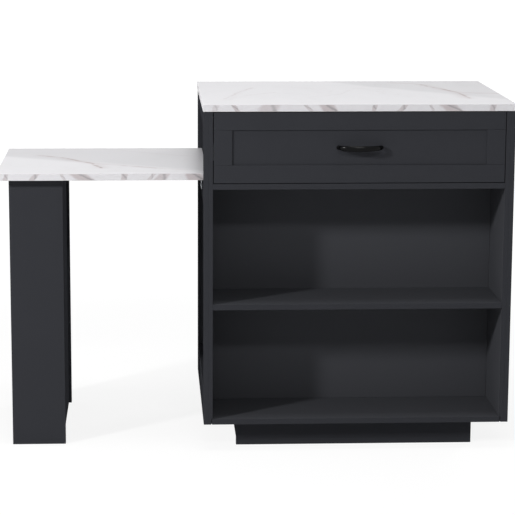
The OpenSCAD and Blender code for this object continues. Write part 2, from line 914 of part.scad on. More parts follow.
drawer_runner(LEFT);  // left_drawer_runner
drawer_runner(RIGHT);  // right_drawer_runner
drawer_top_rail();
drawer_bottom_rail();
drawer_left_stile();
drawer_right_stile();
drawer_front_panel();
drawer_side(LEFT);  // drawer_left_side
drawer_side(RIGHT);  // drawer_right_side
drawer_back();
drawer_bottom();
drawer_handle();
cabinet_hinge_leaves();
door_frame(LEFT);  // left_door_frame
door_panel(LEFT);  // left_door_panel
door_handle(LEFT);  // left_door_handle
door_hinge_leaves(LEFT);  // left_door_hinge_leaves
door_frame(RIGHT);  // right_door_frame
door_panel(RIGHT);  // right_door_panel
door_handle(RIGHT);  // right_door_handle
door_hinge_leaves(RIGHT);  // right_door_hinge_leaves
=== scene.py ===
"""Looks of a kitchen island unit, built round its packed construction model.

The cabinet, its doors and the boxed leg are painted anthracite. The worktop and
the side table carry a pale marble-look laminate, the handles are black, and the
fittings are zinc plated. Lengths are in metres: the front faces -Y, +Z is up and
the origin lies on the floor under the middle of the unit.
"""

import json
import logging
import math
from collections.abc import Callable, Sequence
from dataclasses import dataclass, field, replace
from enum import Enum
from functools import cached_property
from typing import Any

import bmesh
import bpy
from mathutils import Matrix, Vector

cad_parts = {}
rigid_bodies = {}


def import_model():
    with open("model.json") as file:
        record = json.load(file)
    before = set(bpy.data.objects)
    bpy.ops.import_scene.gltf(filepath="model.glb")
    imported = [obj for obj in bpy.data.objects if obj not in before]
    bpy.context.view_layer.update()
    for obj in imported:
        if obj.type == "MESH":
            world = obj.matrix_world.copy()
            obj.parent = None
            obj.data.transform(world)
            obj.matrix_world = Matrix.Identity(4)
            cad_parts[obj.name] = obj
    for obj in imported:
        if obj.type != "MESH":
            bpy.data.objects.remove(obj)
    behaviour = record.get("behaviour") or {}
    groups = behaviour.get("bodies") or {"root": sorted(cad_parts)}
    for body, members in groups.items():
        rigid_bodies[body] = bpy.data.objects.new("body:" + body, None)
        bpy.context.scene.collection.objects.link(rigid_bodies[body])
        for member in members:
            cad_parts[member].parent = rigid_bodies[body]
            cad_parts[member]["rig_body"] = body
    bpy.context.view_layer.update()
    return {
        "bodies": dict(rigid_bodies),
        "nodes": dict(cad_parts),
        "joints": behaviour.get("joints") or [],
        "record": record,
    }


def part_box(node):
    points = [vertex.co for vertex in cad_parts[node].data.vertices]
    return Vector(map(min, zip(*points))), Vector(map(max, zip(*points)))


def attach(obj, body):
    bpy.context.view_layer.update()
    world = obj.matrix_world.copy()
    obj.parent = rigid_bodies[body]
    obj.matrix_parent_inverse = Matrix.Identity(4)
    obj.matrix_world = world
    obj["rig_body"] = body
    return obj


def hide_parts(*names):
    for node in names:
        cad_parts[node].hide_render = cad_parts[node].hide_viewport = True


LOG = logging.getLogger("kitchen_island")
MM = 0.001
SHARP = math.radians(32)
UPRIGHT = 0.7

Colour = tuple[float, float, float, float]
Point = tuple[float, float, float]


def srgb(red: int, green: int, blue: int) -> Colour:
    """Turns a display colour into the linear colour that shaders take.

    Args:
        red: Red, from 0 to 255.
        green: Green, from 0 to 255.
        blue: Blue, from 0 to 255.

    Returns:
        The linear colour with full alpha.
    """
    def linear(level: float) -> float:
        """Undoes the display curve for one channel."""
        return level / 12.92 if level <= 0.04045 else ((level + 0.055) / 1.055) ** 2.4

    return (linear(red / 255), linear(green / 255), linear(blue / 255), 1.0)


# ---------------------------------------------------------------- shader maths


def math_operator(operation: str, reflected: bool = False) -> Callable[..., "Wire"]:
    """Makes an operator of Wire that adds a Math node.

    Args:
        operation: Blender's name for the node's operation.
        reflected: Whether the wire comes second, as in 1 - wire.

    Returns:
        The operator's method.
    """
    def apply(wire: "Wire", other: Any = 0.0) -> "Wire":
        """Adds the node for a wire and a number or another wire."""
        first, second = (other, wire) if reflected else (wire, other)
        return wire.graph.node("ShaderNodeMath", {"operation": operation}, {0: first, 1: second})

    return apply


class Wire:
    """An output of a shader node that takes part in Python expressions."""

    __add__ = math_operator("ADD")
    __radd__ = math_operator("ADD", reflected=True)
    __sub__ = math_operator("SUBTRACT")
    __rsub__ = math_operator("SUBTRACT", reflected=True)
    __mul__ = math_operator("MULTIPLY")
    __rmul__ = math_operator("MULTIPLY", reflected=True)
    __abs__ = math_operator("ABSOLUTE")
    largest = math_operator("MAXIMUM")

    def __init__(self, graph: "Graph", socket: bpy.types.NodeSocket) -> None:
        """Keeps the socket and the graph that it belongs to."""
        self.graph = graph
        self.socket = socket

    def ramp(self, start: Any, end: Any) -> "Wire":
        """Rises smoothly from 0 at start to 1 at end; start may lie above end."""
        return self.graph.node("ShaderNodeMapRange", {"interpolation_type": "SMOOTHSTEP"},
                               {0: self, 1: start, 2: end, 3: 0.0, 4: 1.0})


class Graph:
    """The nodes of a material or of the world while they are being laid out."""

    def __init__(self, owner: bpy.types.Material | bpy.types.World) -> None:
        """Empties the node tree of its owner.

        Args:
            owner: The material or the world.
        """
        owner.use_nodes = True
        self.owner = owner
        self.tree = owner.node_tree
        self.tree.nodes.clear()

    @classmethod
    def material(cls, name: str) -> "Graph":
        """Starts a new material."""
        return cls(bpy.data.materials.new(name))

    @cached_property
    def place(self) -> Wire:
        """The place in the object."""
        return self.node("ShaderNodeTexCoord", output="Object")

    def node(self, kind: str, settings: dict[str, Any] | None = None,
             inputs: dict[int | str, Any] | None = None, output: int | str | None = 0) -> Wire | None:
        """Adds a node of any type.

        Args:
            kind: Blender's name for the node's type.
            settings: Properties, set before the sockets.
            inputs: Values or wires by the sockets' names or numbers.
            output: Name or number of the output to go on with, if it has one.

        Returns:
            The chosen output.
        """
        made = self.tree.nodes.new(kind)
        for key, value in (settings or {}).items():
            setattr(made, key, value)
        for key, value in (inputs or {}).items():
            if isinstance(value, Wire):
                self.tree.links.new(value.socket, made.inputs[key])
            else:
                made.inputs[key].default_value = value
        return None if output is None else Wire(self, made.outputs[output])

    def vector(self, operation: str, first: Any, second: Any, output: int | str = 0) -> Wire:
        """Adds a Vector Math node for two vectors."""
        return self.node("ShaderNodeVectorMath", {"operation": operation},
                         {0: first, 1: second}, output)

    def scaled(self, vector: Any, factor: Any) -> Wire:
        """Multiplies a vector by a number."""
        return self.node("ShaderNodeVectorMath", {"operation": "SCALE"}, {0: vector, "Scale": factor})

    def parts(self, vector: Wire) -> tuple[Wire, ...]:
        """Splits a vector into its X, Y and Z."""
        split = self.node("ShaderNodeSeparateXYZ", inputs={0: vector})
        return tuple(Wire(self, output) for output in split.socket.node.outputs)

    def stretched(self, scale: Point) -> Wire:
        """Gives the place in the object with each axis multiplied by its scale."""
        return self.vector("MULTIPLY", self.place, scale)

    def noise(self, place: Wire, scale: float, detail: float = 3.0, roughness: float = 0.5) -> Wire:
        """Adds a noise.

        Args:
            place: Where the noise is read.
            scale: Patches per metre.
            detail: Octaves.
            roughness: Share that each finer octave adds.

        Returns:
            The noise, round 0.5.
        """
        return self.node("ShaderNodeTexNoise", inputs={
            "Vector": place, "Scale": scale, "Detail": detail, "Roughness": roughness})

    def mix(self, share: Any, first: Any, second: Any) -> Wire:
        """Blends two colours, with share 0 giving the first one."""
        return self.node("ShaderNodeMix", {"data_type": "RGBA"}, {0: share, 6: first, 7: second}, 2)

    def bump(self, height: Any, strength: float, distance: float) -> Wire:
        """Turns a height into a normal."""
        return self.node("ShaderNodeBump", inputs={
            "Strength": strength, "Distance": distance, "Height": height})

    def close(self, sockets: dict[str, Any]) -> bpy.types.Material:
        """Adds the surface shader and links it to the material's output.

        Args:
            sockets: Values or wires of the Principled shader.

        Returns:
            The finished material.
        """
        return self.end(self.node("ShaderNodeBsdfPrincipled", inputs=sockets))

    def end(self, surface: Wire) -> Any:
        """Links a shader to the output and gives back the material or the world.

        Args:
            surface: The shader.

        Returns:
            The material or the world.
        """
        world = isinstance(self.owner, bpy.types.World)
        self.node("ShaderNodeOutputWorld" if world else "ShaderNodeOutputMaterial",
                  inputs={"Surface": surface}, output=None)
        return self.owner


# -------------------------------------------------------------------- finishes


@dataclass(frozen=True)
class Paint:
    """Flat anthracite paint, rolled on fibreboard; its edges and its lightened copy, which paints light
    onto the faces inside the cabinet, have a faint gloss.
    """

    colour: Colour = srgb(52, 53, 57)
    worn: Colour = srgb(68, 69, 73)
    wear: float = 0.0
    roughness: float = 0.72
    specular: float = 0.05

    def make(self, name: str) -> bpy.types.Material:
        """Makes the material: a slow mottle, a fine stipple and rubbed spots on the edges.

        Args:
            name: Name of the material.

        Returns:
            The material.
        """
        graph = Graph.material(name)
        cloud = graph.noise(graph.place, 7.0, 4.0)
        speckle = graph.noise(graph.place, 620.0, 2.0)
        rubs = graph.noise(graph.place, 38.0, 5.0, 0.62)
        tone = 0.94 + 0.08 * cloud + 0.04 * speckle
        worn_share = rubs.ramp(0.56, 0.74) * self.wear
        colour = graph.mix(worn_share, graph.scaled(self.colour[:3], tone), self.worn)
        stipple = graph.noise(graph.place, 900.0, 3.0, 0.6)
        roughness = self.roughness - 0.07 + 0.1 * cloud + 0.05 * stipple - 0.08 * worn_share
        return graph.close({
            "Base Color": colour,
            "Roughness": roughness,
            "Specular IOR Level": self.specular,
            "Normal": graph.bump(stipple, 0.10, 0.0004)})


@dataclass(frozen=True)
class Vein:
    """One vein of the marble print, from point to point on the face of a top."""

    points: tuple[tuple[float, float], ...]
    width: float
    strength: float


@dataclass(frozen=True)
class Clouding:
    """A greyer zone of the print, on one side of a line from start to end."""

    start: tuple[float, float]
    end: tuple[float, float]
    softness: float
    strength: float


@dataclass(frozen=True)
class MarbleFace:
    """Printed marble laminate on the upper face of a top."""

    veins: tuple[Vein, ...]
    clouds: tuple[Clouding, ...]
    light: Colour = srgb(228, 227, 230)
    grey: Colour = srgb(210, 209, 212)
    brown: Colour = srgb(168, 150, 150)
    roughness: float = 0.42
    specular: float = 0.45

    def _flat_place(self, graph: Graph, reach: float, scale: float) -> Wire:
        """Gives the place on the face, pushed about by noise so that lines wander.

        Args:
            graph: The material's graph.
            reach: How far the places are pushed.
            scale: Bends per metre.

        Returns:
            The place on the face.
        """
        wander = graph.node("ShaderNodeTexNoise", inputs={
            "Vector": graph.place, "Scale": scale, "Detail": 4.0, "Roughness": 0.55}, output=1)
        shift = graph.vector("SUBTRACT", wander, (0.5, 0.5, 0.5))
        moved = graph.node("ShaderNodeVectorMath", {"operation": "MULTIPLY_ADD"},
                           {0: shift, 1: (reach, reach, 0.0), 2: graph.place})
        return graph.vector("MULTIPLY", moved, (1.0, 1.0, 0.0))

    def _stretch(self, graph: Graph, place: Wire, start: tuple[float, float],
                 end: tuple[float, float], width: float) -> Wire:
        """Draws one straight stretch of a vein.

        Args:
            graph: The material's graph.
            place: Place on the face.
            start: Where the stretch starts.
            end: Where it ends.
            width: Distance over which it fades out to each side.

        Returns:
            How strongly the stretch shows, from 0 to 1.
        """
        along = Vector((end[0] - start[0], end[1] - start[1], 0.0))
        offset = graph.vector("SUBTRACT", place, (start[0], start[1], 0.0))
        share = graph.vector("DOT_PRODUCT", offset, tuple(along / along.length_squared), "Value")
        held = graph.node("ShaderNodeClamp", inputs={0: share})
        gap = graph.vector("DISTANCE", offset, graph.scaled(tuple(along), held), "Value")
        return gap.ramp(width, 0.0)

    def make(self, name: str) -> bpy.types.Material:
        """Makes the material: clouds, then thin broken veins over them.

        Args:
            name: Name of the material.

        Returns:
            The material.
        """
        graph = Graph.material(name)
        slow = self._flat_place(graph, 0.10, 3.0)
        quick = self._flat_place(graph, 0.035, 11.0)
        grain = graph.noise(graph.place, 330.0, 4.0, 0.7)
        drift = graph.noise(graph.stretched((2.2, 1.0, 1.0)), 2.6, 5.0, 0.6)
        grey_share = 0.22 * drift.ramp(0.45, 0.75)
        for cloud in self.clouds:
            (x0, y0), (x1, y1) = cloud.start, cloud.end
            across = Vector((-(y1 - y0), x1 - x0, 0.0)).normalized()
            offset = graph.vector("SUBTRACT", slow, (x0, y0, 0.0))
            side = graph.vector("DOT_PRODUCT", offset, tuple(across), "Value")
            grey_share = grey_share + cloud.strength * side.ramp(0.0, cloud.softness)
        colour = graph.mix(grey_share, self.light, self.grey)
        broken = graph.noise(graph.place, 26.0, 5.0, 0.65).ramp(0.34, 0.60)
        vein_share: Any = 0.0
        for vein in self.veins:
            for start, end in zip(vein.points, vein.points[1:]):
                stretch = self._stretch(graph, quick, start, end, vein.width)
                halo = self._stretch(graph, slow, start, end, vein.width * 5.0)
                shown = vein.strength * (0.8 * stretch * broken + 0.2 * halo * halo)
                vein_share = shown.largest(vein_share)
        hair = abs(graph.noise(quick, 5.5, 6.0, 0.62) - 0.5).ramp(0.012, 0.0)
        vein_share = (0.16 * hair * drift.ramp(0.5, 0.7)).largest(vein_share)
        speckled = vein_share * (0.72 + 0.5 * grain)
        colour = graph.mix(speckled, colour, self.brown)
        fine = graph.noise(graph.place, 1400.0, 2.0)
        return graph.close({
            "Base Color": colour,
            "Roughness": self.roughness + 0.06 * grain - 0.03 * fine,
            "Specular IOR Level": self.specular,
            "Normal": graph.bump(fine, 0.06, 0.0002)})


@dataclass(frozen=True)
class Patch:
    """A dark stretch of the print where a vein crosses the edge band."""

    centre: float
    width: float
    lean: float
    strength: float


@dataclass(frozen=True)
class MarbleEdge:
    """Marble edge band: the veins cross it as short leaning patches."""

    patches: tuple[Patch, ...]
    start: float
    middle_z: float
    light: Colour = srgb(210, 209, 212)
    brown: Colour = srgb(182, 174, 176)
    dark: Colour = srgb(140, 138, 141)
    roughness: float = 0.36
    specular: float = 0.45

    def make(self, name: str) -> bpy.types.Material:
        """Makes the material: patches placed along the band, grained and dark on one side.

        Args:
            name: Name of the material.

        Returns:
            The material.
        """
        graph = Graph.material(name)
        grain = graph.noise(graph.place, 420.0, 4.0, 0.7)
        blotch = graph.noise(graph.place, 60.0, 4.0, 0.6)
        x, y, z = graph.parts(graph.place)
        facing = graph.node("ShaderNodeTexCoord", output="Normal")
        normal_x, normal_y, _ = graph.parts(facing)
        along = x * abs(normal_y) + y * abs(normal_x) - self.start
        height = z - self.middle_z
        wobble = 0.012 * (blotch - 0.5)
        light_share: Any = 0.0
        dark_share: Any = 0.0
        for patch in self.patches:
            offset = along + wobble - patch.lean * height - patch.centre
            shown = abs(offset).ramp(patch.width * 0.62, patch.width * 0.34) * patch.strength
            light_share = shown.largest(light_share)
            line = abs(offset - patch.width * 0.22 + 0.9 * height)
            line = line.ramp(patch.width * 0.16 + 2 * MM, 0.0)
            dark_share = (line * shown).largest(dark_share)
        tone = 0.10 * blotch.ramp(0.4, 0.7) + light_share * (0.55 + 0.6 * grain)
        colour = graph.mix(tone, self.light, self.brown)
        colour = graph.mix(dark_share * (0.45 + 0.5 * grain), colour, self.dark)
        return graph.close({
            "Base Color": colour,
            "Roughness": self.roughness + 0.05 * grain,
            "Specular IOR Level": self.specular,
            "Normal": graph.bump(grain, 0.05, 0.0002)})


@dataclass(frozen=True)
class Melamine:
    """Matt grey-white facing of the drawer's box and of the tops' undersides."""

    colour: Colour = srgb(212, 211, 208)
    fleck: Colour = srgb(190, 189, 186)
    roughness: float = 0.55

    def make(self, name: str) -> bpy.types.Material:
        """Makes the material: faint threads along the board over a pearly grain.

        Args:
            name: Name of the material.

        Returns:
            The material.
        """
        graph = Graph.material(name)
        thread = graph.noise(graph.stretched((1.0, 0.08, 1.0)), 260.0, 3.0)
        pearl = graph.noise(graph.place, 1100.0, 2.0)
        colour = graph.mix(0.5 * thread.ramp(0.45, 0.75) + 0.12 * pearl, self.colour, self.fleck)
        return graph.close({
            "Base Color": colour,
            "Roughness": self.roughness - 0.08 * thread,
            "Normal": graph.bump(pearl, 0.12, 0.0002)})


@dataclass(frozen=True)
class Fibreboard:
    """Bare brown fibreboard under the drawer's bottom."""

    colour: Colour = srgb(150, 122, 92)
    fibre: Colour = srgb(112, 88, 62)

    def make(self, name: str) -> bpy.types.Material:
        """Makes the material: short matted fibres.

        Args:
            name: Name of the material.

        Returns:
            The material.
        """
        graph = Graph.material(name)
        mat = graph.noise(graph.stretched((1.0, 0.4, 1.0)), 900.0, 5.0, 0.7)
        cloud = graph.noise(graph.place, 22.0, 3.0)
        colour = graph.mix((0.7 * mat + 0.3 * cloud).ramp(0.35, 0.68), self.colour, self.fibre)
        return graph.close({
            "Base Color": colour,
            "Roughness": 0.78 + 0.1 * mat,
            "Normal": graph.bump(mat, 0.3, 0.0003)})


@dataclass(frozen=True)
class Zinc:
    """Zinc-plated sheet steel, with rolling lines along Y."""

    colour: Colour = srgb(168, 171, 176)
    dull: Colour = srgb(140, 144, 150)

    def make(self, name: str) -> bpy.types.Material:
        """Makes the material: rolling lines, plating clouds and a soft shine.

        Args:
            name: Name of the material.

        Returns:
            The material.
        """
        graph = Graph.material(name)
        rolled = graph.noise(graph.stretched((1.0, 0.03, 1.0)), 1500.0, 3.0)
        cloud = graph.noise(graph.place, 24.0, 3.0, 0.5)
        colour = graph.mix(0.45 * rolled + 0.4 * cloud.ramp(0.35, 0.75), self.colour, self.dull)
        return graph.close({
            "Base Color": colour,
            "Metallic": 1.0,
            "Roughness": 0.3 + 0.08 * cloud + 0.06 * rolled,
            "Normal": graph.bump(rolled, 0.10, 0.0002)})


@dataclass(frozen=True)
class BlackCoat:
    """Satin black coating of the handles and the catches."""

    colour: Colour = srgb(7, 7, 8)
    rubbed: Colour = srgb(12, 12, 13)
    roughness: float = 0.2
    specular: float = 0.1

    def make(self, name: str) -> bpy.types.Material:
        """Makes the material: fine powder texture, a little rubbed.

        Args:
            name: Name of the material.

        Returns:
            The material.
        """
        graph = Graph.material(name)
        powder = graph.noise(graph.place, 2200.0, 3.0, 0.6)
        touch = graph.noise(graph.place, 85.0, 4.0, 0.6)
        colour = graph.mix(0.35 * touch.ramp(0.55, 0.8), self.colour, self.rubbed)
        return graph.close({
            "Base Color": colour,
            "Roughness": self.roughness + 0.08 * powder - 0.06 * touch,
            "Specular IOR Level": self.specular,
            "Normal": graph.bump(powder, 0.08, 0.0001)})


@dataclass(frozen=True)
class Beech:
    """Raw beech of the dowels and the leg's top block, with its grain along Y."""

    colour: Colour = srgb(205, 168, 126)
    late: Colour = srgb(172, 130, 90)

    def make(self, name: str) -> bpy.types.Material:
        """Makes the material: year rings and the short dashes of beech.

        Args:
            name: Name of the material.

        Returns:
            The material.
        """
        graph = Graph.material(name)
        bent = graph.noise(graph.stretched((1.0, 0.12, 1.0)), 34.0, 3.0)
        x, _, z = graph.parts(graph.place)
        rings = graph.node("ShaderNodeMath", {"operation": "SINE"},
                           {0: (x + 0.6 * z) * 900.0 + 14.0 * bent})
        dashes = graph.noise(graph.stretched((1.0, 0.07, 1.0)), 1300.0, 2.0).ramp(0.58, 0.68)
        share = 0.28 * rings.ramp(-1.0, 1.0) + 0.45 * dashes
        return graph.close({
            "Base Color": graph.mix(share, self.colour, self.late),
            "Roughness": 0.62 + 0.12 * dashes,
            "Normal": graph.bump(dashes, 0.15, 0.0002)})


class Finish(Enum):
    """The finishes of the unit, each with the record's slot that it belongs to."""

    PAINT = ("anthracite_paint", "dark_paint")
    PAINT_EDGE = ("anthracite_paint_edge", "dark_paint")
    # Painted light: a lighter copy of the paint that brightens the faces inside the cabinet.
    FOIL = ("anthracite_board_face", "dark_paint")
    WORKTOP_FACE = ("worktop_marble_face", "marble_laminate")
    WORKTOP_EDGE = ("worktop_marble_edge", "marble_laminate")
    TABLE_FACE = ("table_marble_face", "marble_laminate")
    TABLE_EDGE = ("table_marble_edge", "marble_laminate")
    BACKING = ("laminate_backing", "marble_laminate")
    MELAMINE = ("drawer_melamine", "drawer_board")
    FIBREBOARD = ("bare_fibreboard", "drawer_board")
    ZINC = ("zinc_steel", "zinc_steel")
    BLACK = ("black_coating", "black_metal")
    CATCH = ("catch_plastic", "black_metal")
    BEECH = ("raw_beech", "beech")

    @property
    def title(self) -> str:
        """The material's name."""
        return self.value[0]

    @property
    def slot(self) -> str:
        """The record's material slot."""
        return self.value[1]


@dataclass
class Palette:
    """Makes every material once and hands them out by finish."""

    made: dict[Finish, bpy.types.Material] = field(default_factory=dict)

    def mix_all(self, tops: "Tops") -> None:
        """Makes all the materials.

        Args:
            tops: The two tops, whose marble print starts at their own corners.
        """
        recipes = {
            Finish.PAINT: Paint(specular=0.0),
            Finish.PAINT_EDGE: Paint(wear=0.5),
            # Painted light: the same paint made lighter for the faces inside the cabinet.
            Finish.FOIL: Paint(srgb(63, 64, 68), srgb(75, 76, 80)),
            Finish.WORKTOP_FACE: tops.face("worktop"),
            Finish.WORKTOP_EDGE: tops.edge("worktop"),
            Finish.TABLE_FACE: tops.face("table_top"),
            Finish.TABLE_EDGE: tops.edge("table_top"),
            Finish.BACKING: Melamine(srgb(206, 204, 200), srgb(186, 184, 180)),
            Finish.MELAMINE: Melamine(),
            Finish.FIBREBOARD: Fibreboard(),
            Finish.ZINC: Zinc(),
            Finish.BLACK: BlackCoat(),
            Finish.CATCH: BlackCoat(srgb(24, 24, 26), srgb(44, 44, 46), 0.5, 0.4),
            Finish.BEECH: Beech(),
        }
        for finish, recipe in recipes.items():
            self.made[finish] = recipe.make(finish.title)
            LOG.info("finish %s", finish.title)


# -------------------------------------------------------------------- workshop


@dataclass
class Workshop:
    """Shapes pieces and hands them to the bodies of the construction model."""

    frame: dict[str, Any]
    palette: Palette

    def pick(self, *pieces: bpy.types.Object) -> None:
        """Selects only these pieces and makes the first one active.

        Args:
            pieces: The pieces.
        """
        bpy.ops.object.select_all(action="DESELECT")
        for piece in pieces:
            piece.select_set(True)
        bpy.context.view_layer.objects.active = pieces[0]

    def body_of(self, node: str) -> str:
        """Gives the body that a node belongs to."""
        return self.frame["nodes"][node]["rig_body"]

    def copy_of(self, node: str, name: str) -> bpy.types.Object:
        """Copies a node's solid as one clean mesh of large flat faces.

        Args:
            node: Name of the construction node.
            name: Name of the new piece.

        Returns:
            The new piece, at the node's place.
        """
        piece = bpy.data.objects.new(name, self.frame["nodes"][node].data.copy())
        bpy.context.scene.collection.objects.link(piece)
        piece.data.name = name
        self.pick(piece)
        bpy.ops.mesh.customdata_custom_splitnormals_clear()
        bpy.ops.object.mode_set(mode="EDIT")
        bpy.ops.mesh.select_all(action="SELECT")
        bpy.ops.mesh.remove_doubles(threshold=0.01 * MM)
        bpy.ops.mesh.dissolve_limited(angle_limit=math.radians(0.5))
        bpy.ops.object.mode_set(mode="OBJECT")
        return piece

    def block(self, name: str, low: Sequence[float], high: Sequence[float]) -> bpy.types.Object:
        """Adds a block between two corners, as the start of a piece.

        Args:
            name: Name of the piece.
            low: Its lowest corner.
            high: Its highest corner.

        Returns:
            The block.
        """
        low, high = Vector(low), Vector(high)
        bpy.ops.object.select_all(action="DESELECT")
        bpy.ops.mesh.primitive_cube_add(size=1.0, location=(low + high) / 2, scale=high - low)
        return self._started(name)

    def disc(self, name: str, centre: Sequence[float], axis: Sequence[float], radius: float,
             depth: float, sides: int = 24) -> bpy.types.Object:
        """Adds a round blank whose axis points along a direction.

        Args:
            name: Name of the piece.
            centre: Its middle.
            axis: Direction of its axis.
            radius: Its radius.
            depth: Its length along the axis.
            sides: Number of its sides.

        Returns:
            The blank.
        """
        turn = Vector((0, 0, 1)).rotation_difference(Vector(axis)).to_euler()
        bpy.ops.object.select_all(action="DESELECT")
        bpy.ops.mesh.primitive_cylinder_add(vertices=sides, radius=radius, depth=depth,
                                            location=centre, rotation=turn)
        return self._started(name)

    def _started(self, name: str) -> bpy.types.Object:
        """Names the primitive just added and puts its place into its mesh.

        Args:
            name: Its name.

        Returns:
            The primitive.
        """
        piece = bpy.context.active_object
        piece.name = name
        piece.data.name = name
        bpy.ops.object.transform_apply(location=True, rotation=True, scale=True)
        return piece

    def cut(self, piece: bpy.types.Object, point: Sequence[float], normal: Sequence[float]) -> None:
        """Saws a piece along a plane and throws away what lies on the normal's side.

        Args:
            piece: The piece.
            point: A point of the plane.
            normal: Direction that the plane faces.
        """
        self.pick(piece)
        bpy.ops.object.mode_set(mode="EDIT")
        bpy.ops.mesh.select_all(action="SELECT")
        bpy.ops.mesh.bisect(plane_co=point, plane_no=normal, use_fill=True, clear_outer=True,
                            threshold=0.001 * MM)
        bpy.ops.object.mode_set(mode="OBJECT")

    def carve(self, piece: bpy.types.Object, tools: Sequence[bpy.types.Object]) -> None:
        """Cuts the tools' shapes out of a piece and removes the tools.

        Args:
            piece: The piece.
            tools: Pieces in the shapes that are cut out.
        """
        for tool in tools:
            self.pick(piece)
            modifier = piece.modifiers.new("carve", "BOOLEAN")
            modifier.operation = "DIFFERENCE"
            modifier.solver = "EXACT"
            modifier.object = tool
            bpy.ops.object.modifier_apply(modifier=modifier.name)
            bpy.data.objects.remove(tool)
        bpy.ops.object.mode_set(mode="EDIT")
        bpy.ops.mesh.select_all(action="SELECT")
        bpy.ops.mesh.fill_holes(sides=4)
        bpy.ops.object.mode_set(mode="OBJECT")

    def ease(self, piece: bpy.types.Object, width: float, segments: int = 2,
             shortest: float = 6 * MM, strip: int = -1) -> None:
        """Rounds the long outer edges of a piece and leaves its small holes crisp.

        Args:
            piece: The piece.
            width: Width of the rounding.
            segments: Facets across it.
            shortest: Edges shorter than this stay as they are.
            strip: Material slot of the rounding, or -1 for that of the faces.
        """
        self.smooth(piece)
        shape = bmesh.new()
        shape.from_mesh(piece.data)
        weight = shape.edges.layers.float.get("bevel_weight_edge") or \
            shape.edges.layers.float.new("bevel_weight_edge")
        for edge in shape.edges:
            outer = edge.is_manifold and edge.is_convex and edge.calc_face_angle() > SHARP
            edge[weight] = 1.0 if outer and edge.calc_length() >= shortest else 0.0
        shape.to_mesh(piece.data)
        shape.free()
        self._bevel(piece, width=width, segments=segments, limit_method="WEIGHT",
                    use_clamp_overlap=False, harden_normals=True, material=strip)

    def smooth(self, piece: bpy.types.Object, sharp: float = SHARP) -> None:
        """Shades a piece smooth, apart from edges sharper than an angle."""
        self.pick(piece)
        bpy.ops.object.shade_smooth_by_angle(angle=sharp)

    def dome(self, piece: bpy.types.Object, width: float) -> None:
        """Rounds the rims of a turned piece."""
        self.pick(piece)
        self._bevel(piece, width=width, segments=3, limit_method="ANGLE")

    @staticmethod
    def _bevel(piece: bpy.types.Object, **settings: Any) -> None:
        """Bevels the active piece.

        Args:
            piece: The piece.
            settings: Properties of the Bevel modifier.
        """
        modifier = piece.modifiers.new("bevel", "BEVEL")
        for key, value in settings.items():
            setattr(modifier, key, value)
        bpy.ops.object.modifier_apply(modifier=modifier.name)

    def dress(self, piece: bpy.types.Object, *finishes: Finish,
              choose: Callable[[Vector], int] | None = None) -> None:
        """Gives a piece its materials.

        Args:
            piece: The piece.
            finishes: The finishes of its material slots.
            choose: Picks a slot for a face from its normal; all take slot 0 without it.
        """
        piece.data.materials.clear()
        for finish in finishes:
            piece.data.materials.append(self.palette.made[finish])
        for face in piece.data.polygons:
            face.material_index = choose(face.normal) if choose else 0

    def give(self, piece: bpy.types.Object, body: str, finish: Finish, *replaced: str) -> None:
        """Lets a piece ride on its body and stand for the nodes that it replaces.

        Args:
            piece: The piece.
            body: Name of the body.
            finish: Not used.
            replaced: Construction nodes that it stands for.
        """
        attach(piece, body)
        if replaced:
            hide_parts(*replaced)
        LOG.info("piece %s on %s, %d faces", piece.name, body, len(piece.data.polygons))

    def join(self, name: str, pieces: Sequence[bpy.types.Object]) -> bpy.types.Object:
        """Joins pieces that are one part of the real object, and names the result.

        Args:
            name: Name of the result.
            pieces: The pieces.

        Returns:
            The result.
        """
        self.pick(*pieces)
        bpy.ops.object.join()
        pieces[0].name = name
        pieces[0].data.name = name
        return pieces[0]

    def gather(self, name: str, pieces: Sequence[bpy.types.Object], node: str, finish: Finish,
               *replaced: str) -> None:
        """Joins pieces of one finish that ride with a node.

        Args:
            name: Name of the result.
            pieces: The pieces.
            node: The node.
            finish: The finish.
            replaced: Construction nodes that the result stands for.
        """
        piece = self.join(name, pieces)
        self.dress(piece, finish)
        self.give(piece, self.body_of(node), finish, *replaced)

    def clad(self, node: str, ending: str, finishes: Sequence[Finish], *easing: Any,
             choose: Callable[[Vector], int] | None = None, **options: Any) -> None:
        """Makes the dressed and eased copy of a node that stands for it.

        Args:
            node: Name of the construction node.
            ending: Ending of the new piece's name.
            finishes: The finishes of its material slots.
            easing: Width of its rounded edges and more that ease takes.
            choose: Picks a slot for a face from its normal.
            options: Named values for ease.
        """
        piece = self.copy_of(node, f"{node}_{ending}")
        self.dress(piece, *finishes, choose=choose)
        self.ease(piece, *easing, **options)
        self.give(piece, self.body_of(node), finishes[0], node)

    def repaint(self, node: str, finish: Finish) -> None:
        """Gives a construction node that stays in view a better material.

        Args:
            node: Name of the node.
            finish: The finish.
        """
        mesh = self.frame["nodes"][node].data
        mesh.materials.clear()
        mesh.materials.append(self.palette.made[finish])

    def slot_cutter(self, centre: Sequence[float], axis: Sequence[float], along: Sequence[float],
                    radius: float, depth: float, length: float) -> bpy.types.Object:
        """Makes a cutter for a slot with round ends.

        Args:
            centre: Middle of the slot.
            axis: Direction in which it cuts.
            along: Direction of the slot's length.
            radius: Half the slot's width.
            depth: How far it cuts.
            length: Distance between the middles of its round ends.

        Returns:
            The cutter.
        """
        cutter = self.disc("slot_cutter", centre, axis, radius, depth)
        way = Vector(along)
        for corner in cutter.data.vertices:
            corner.co += way * math.copysign(length / 2, (corner.co - Vector(centre)).dot(way))
        return cutter


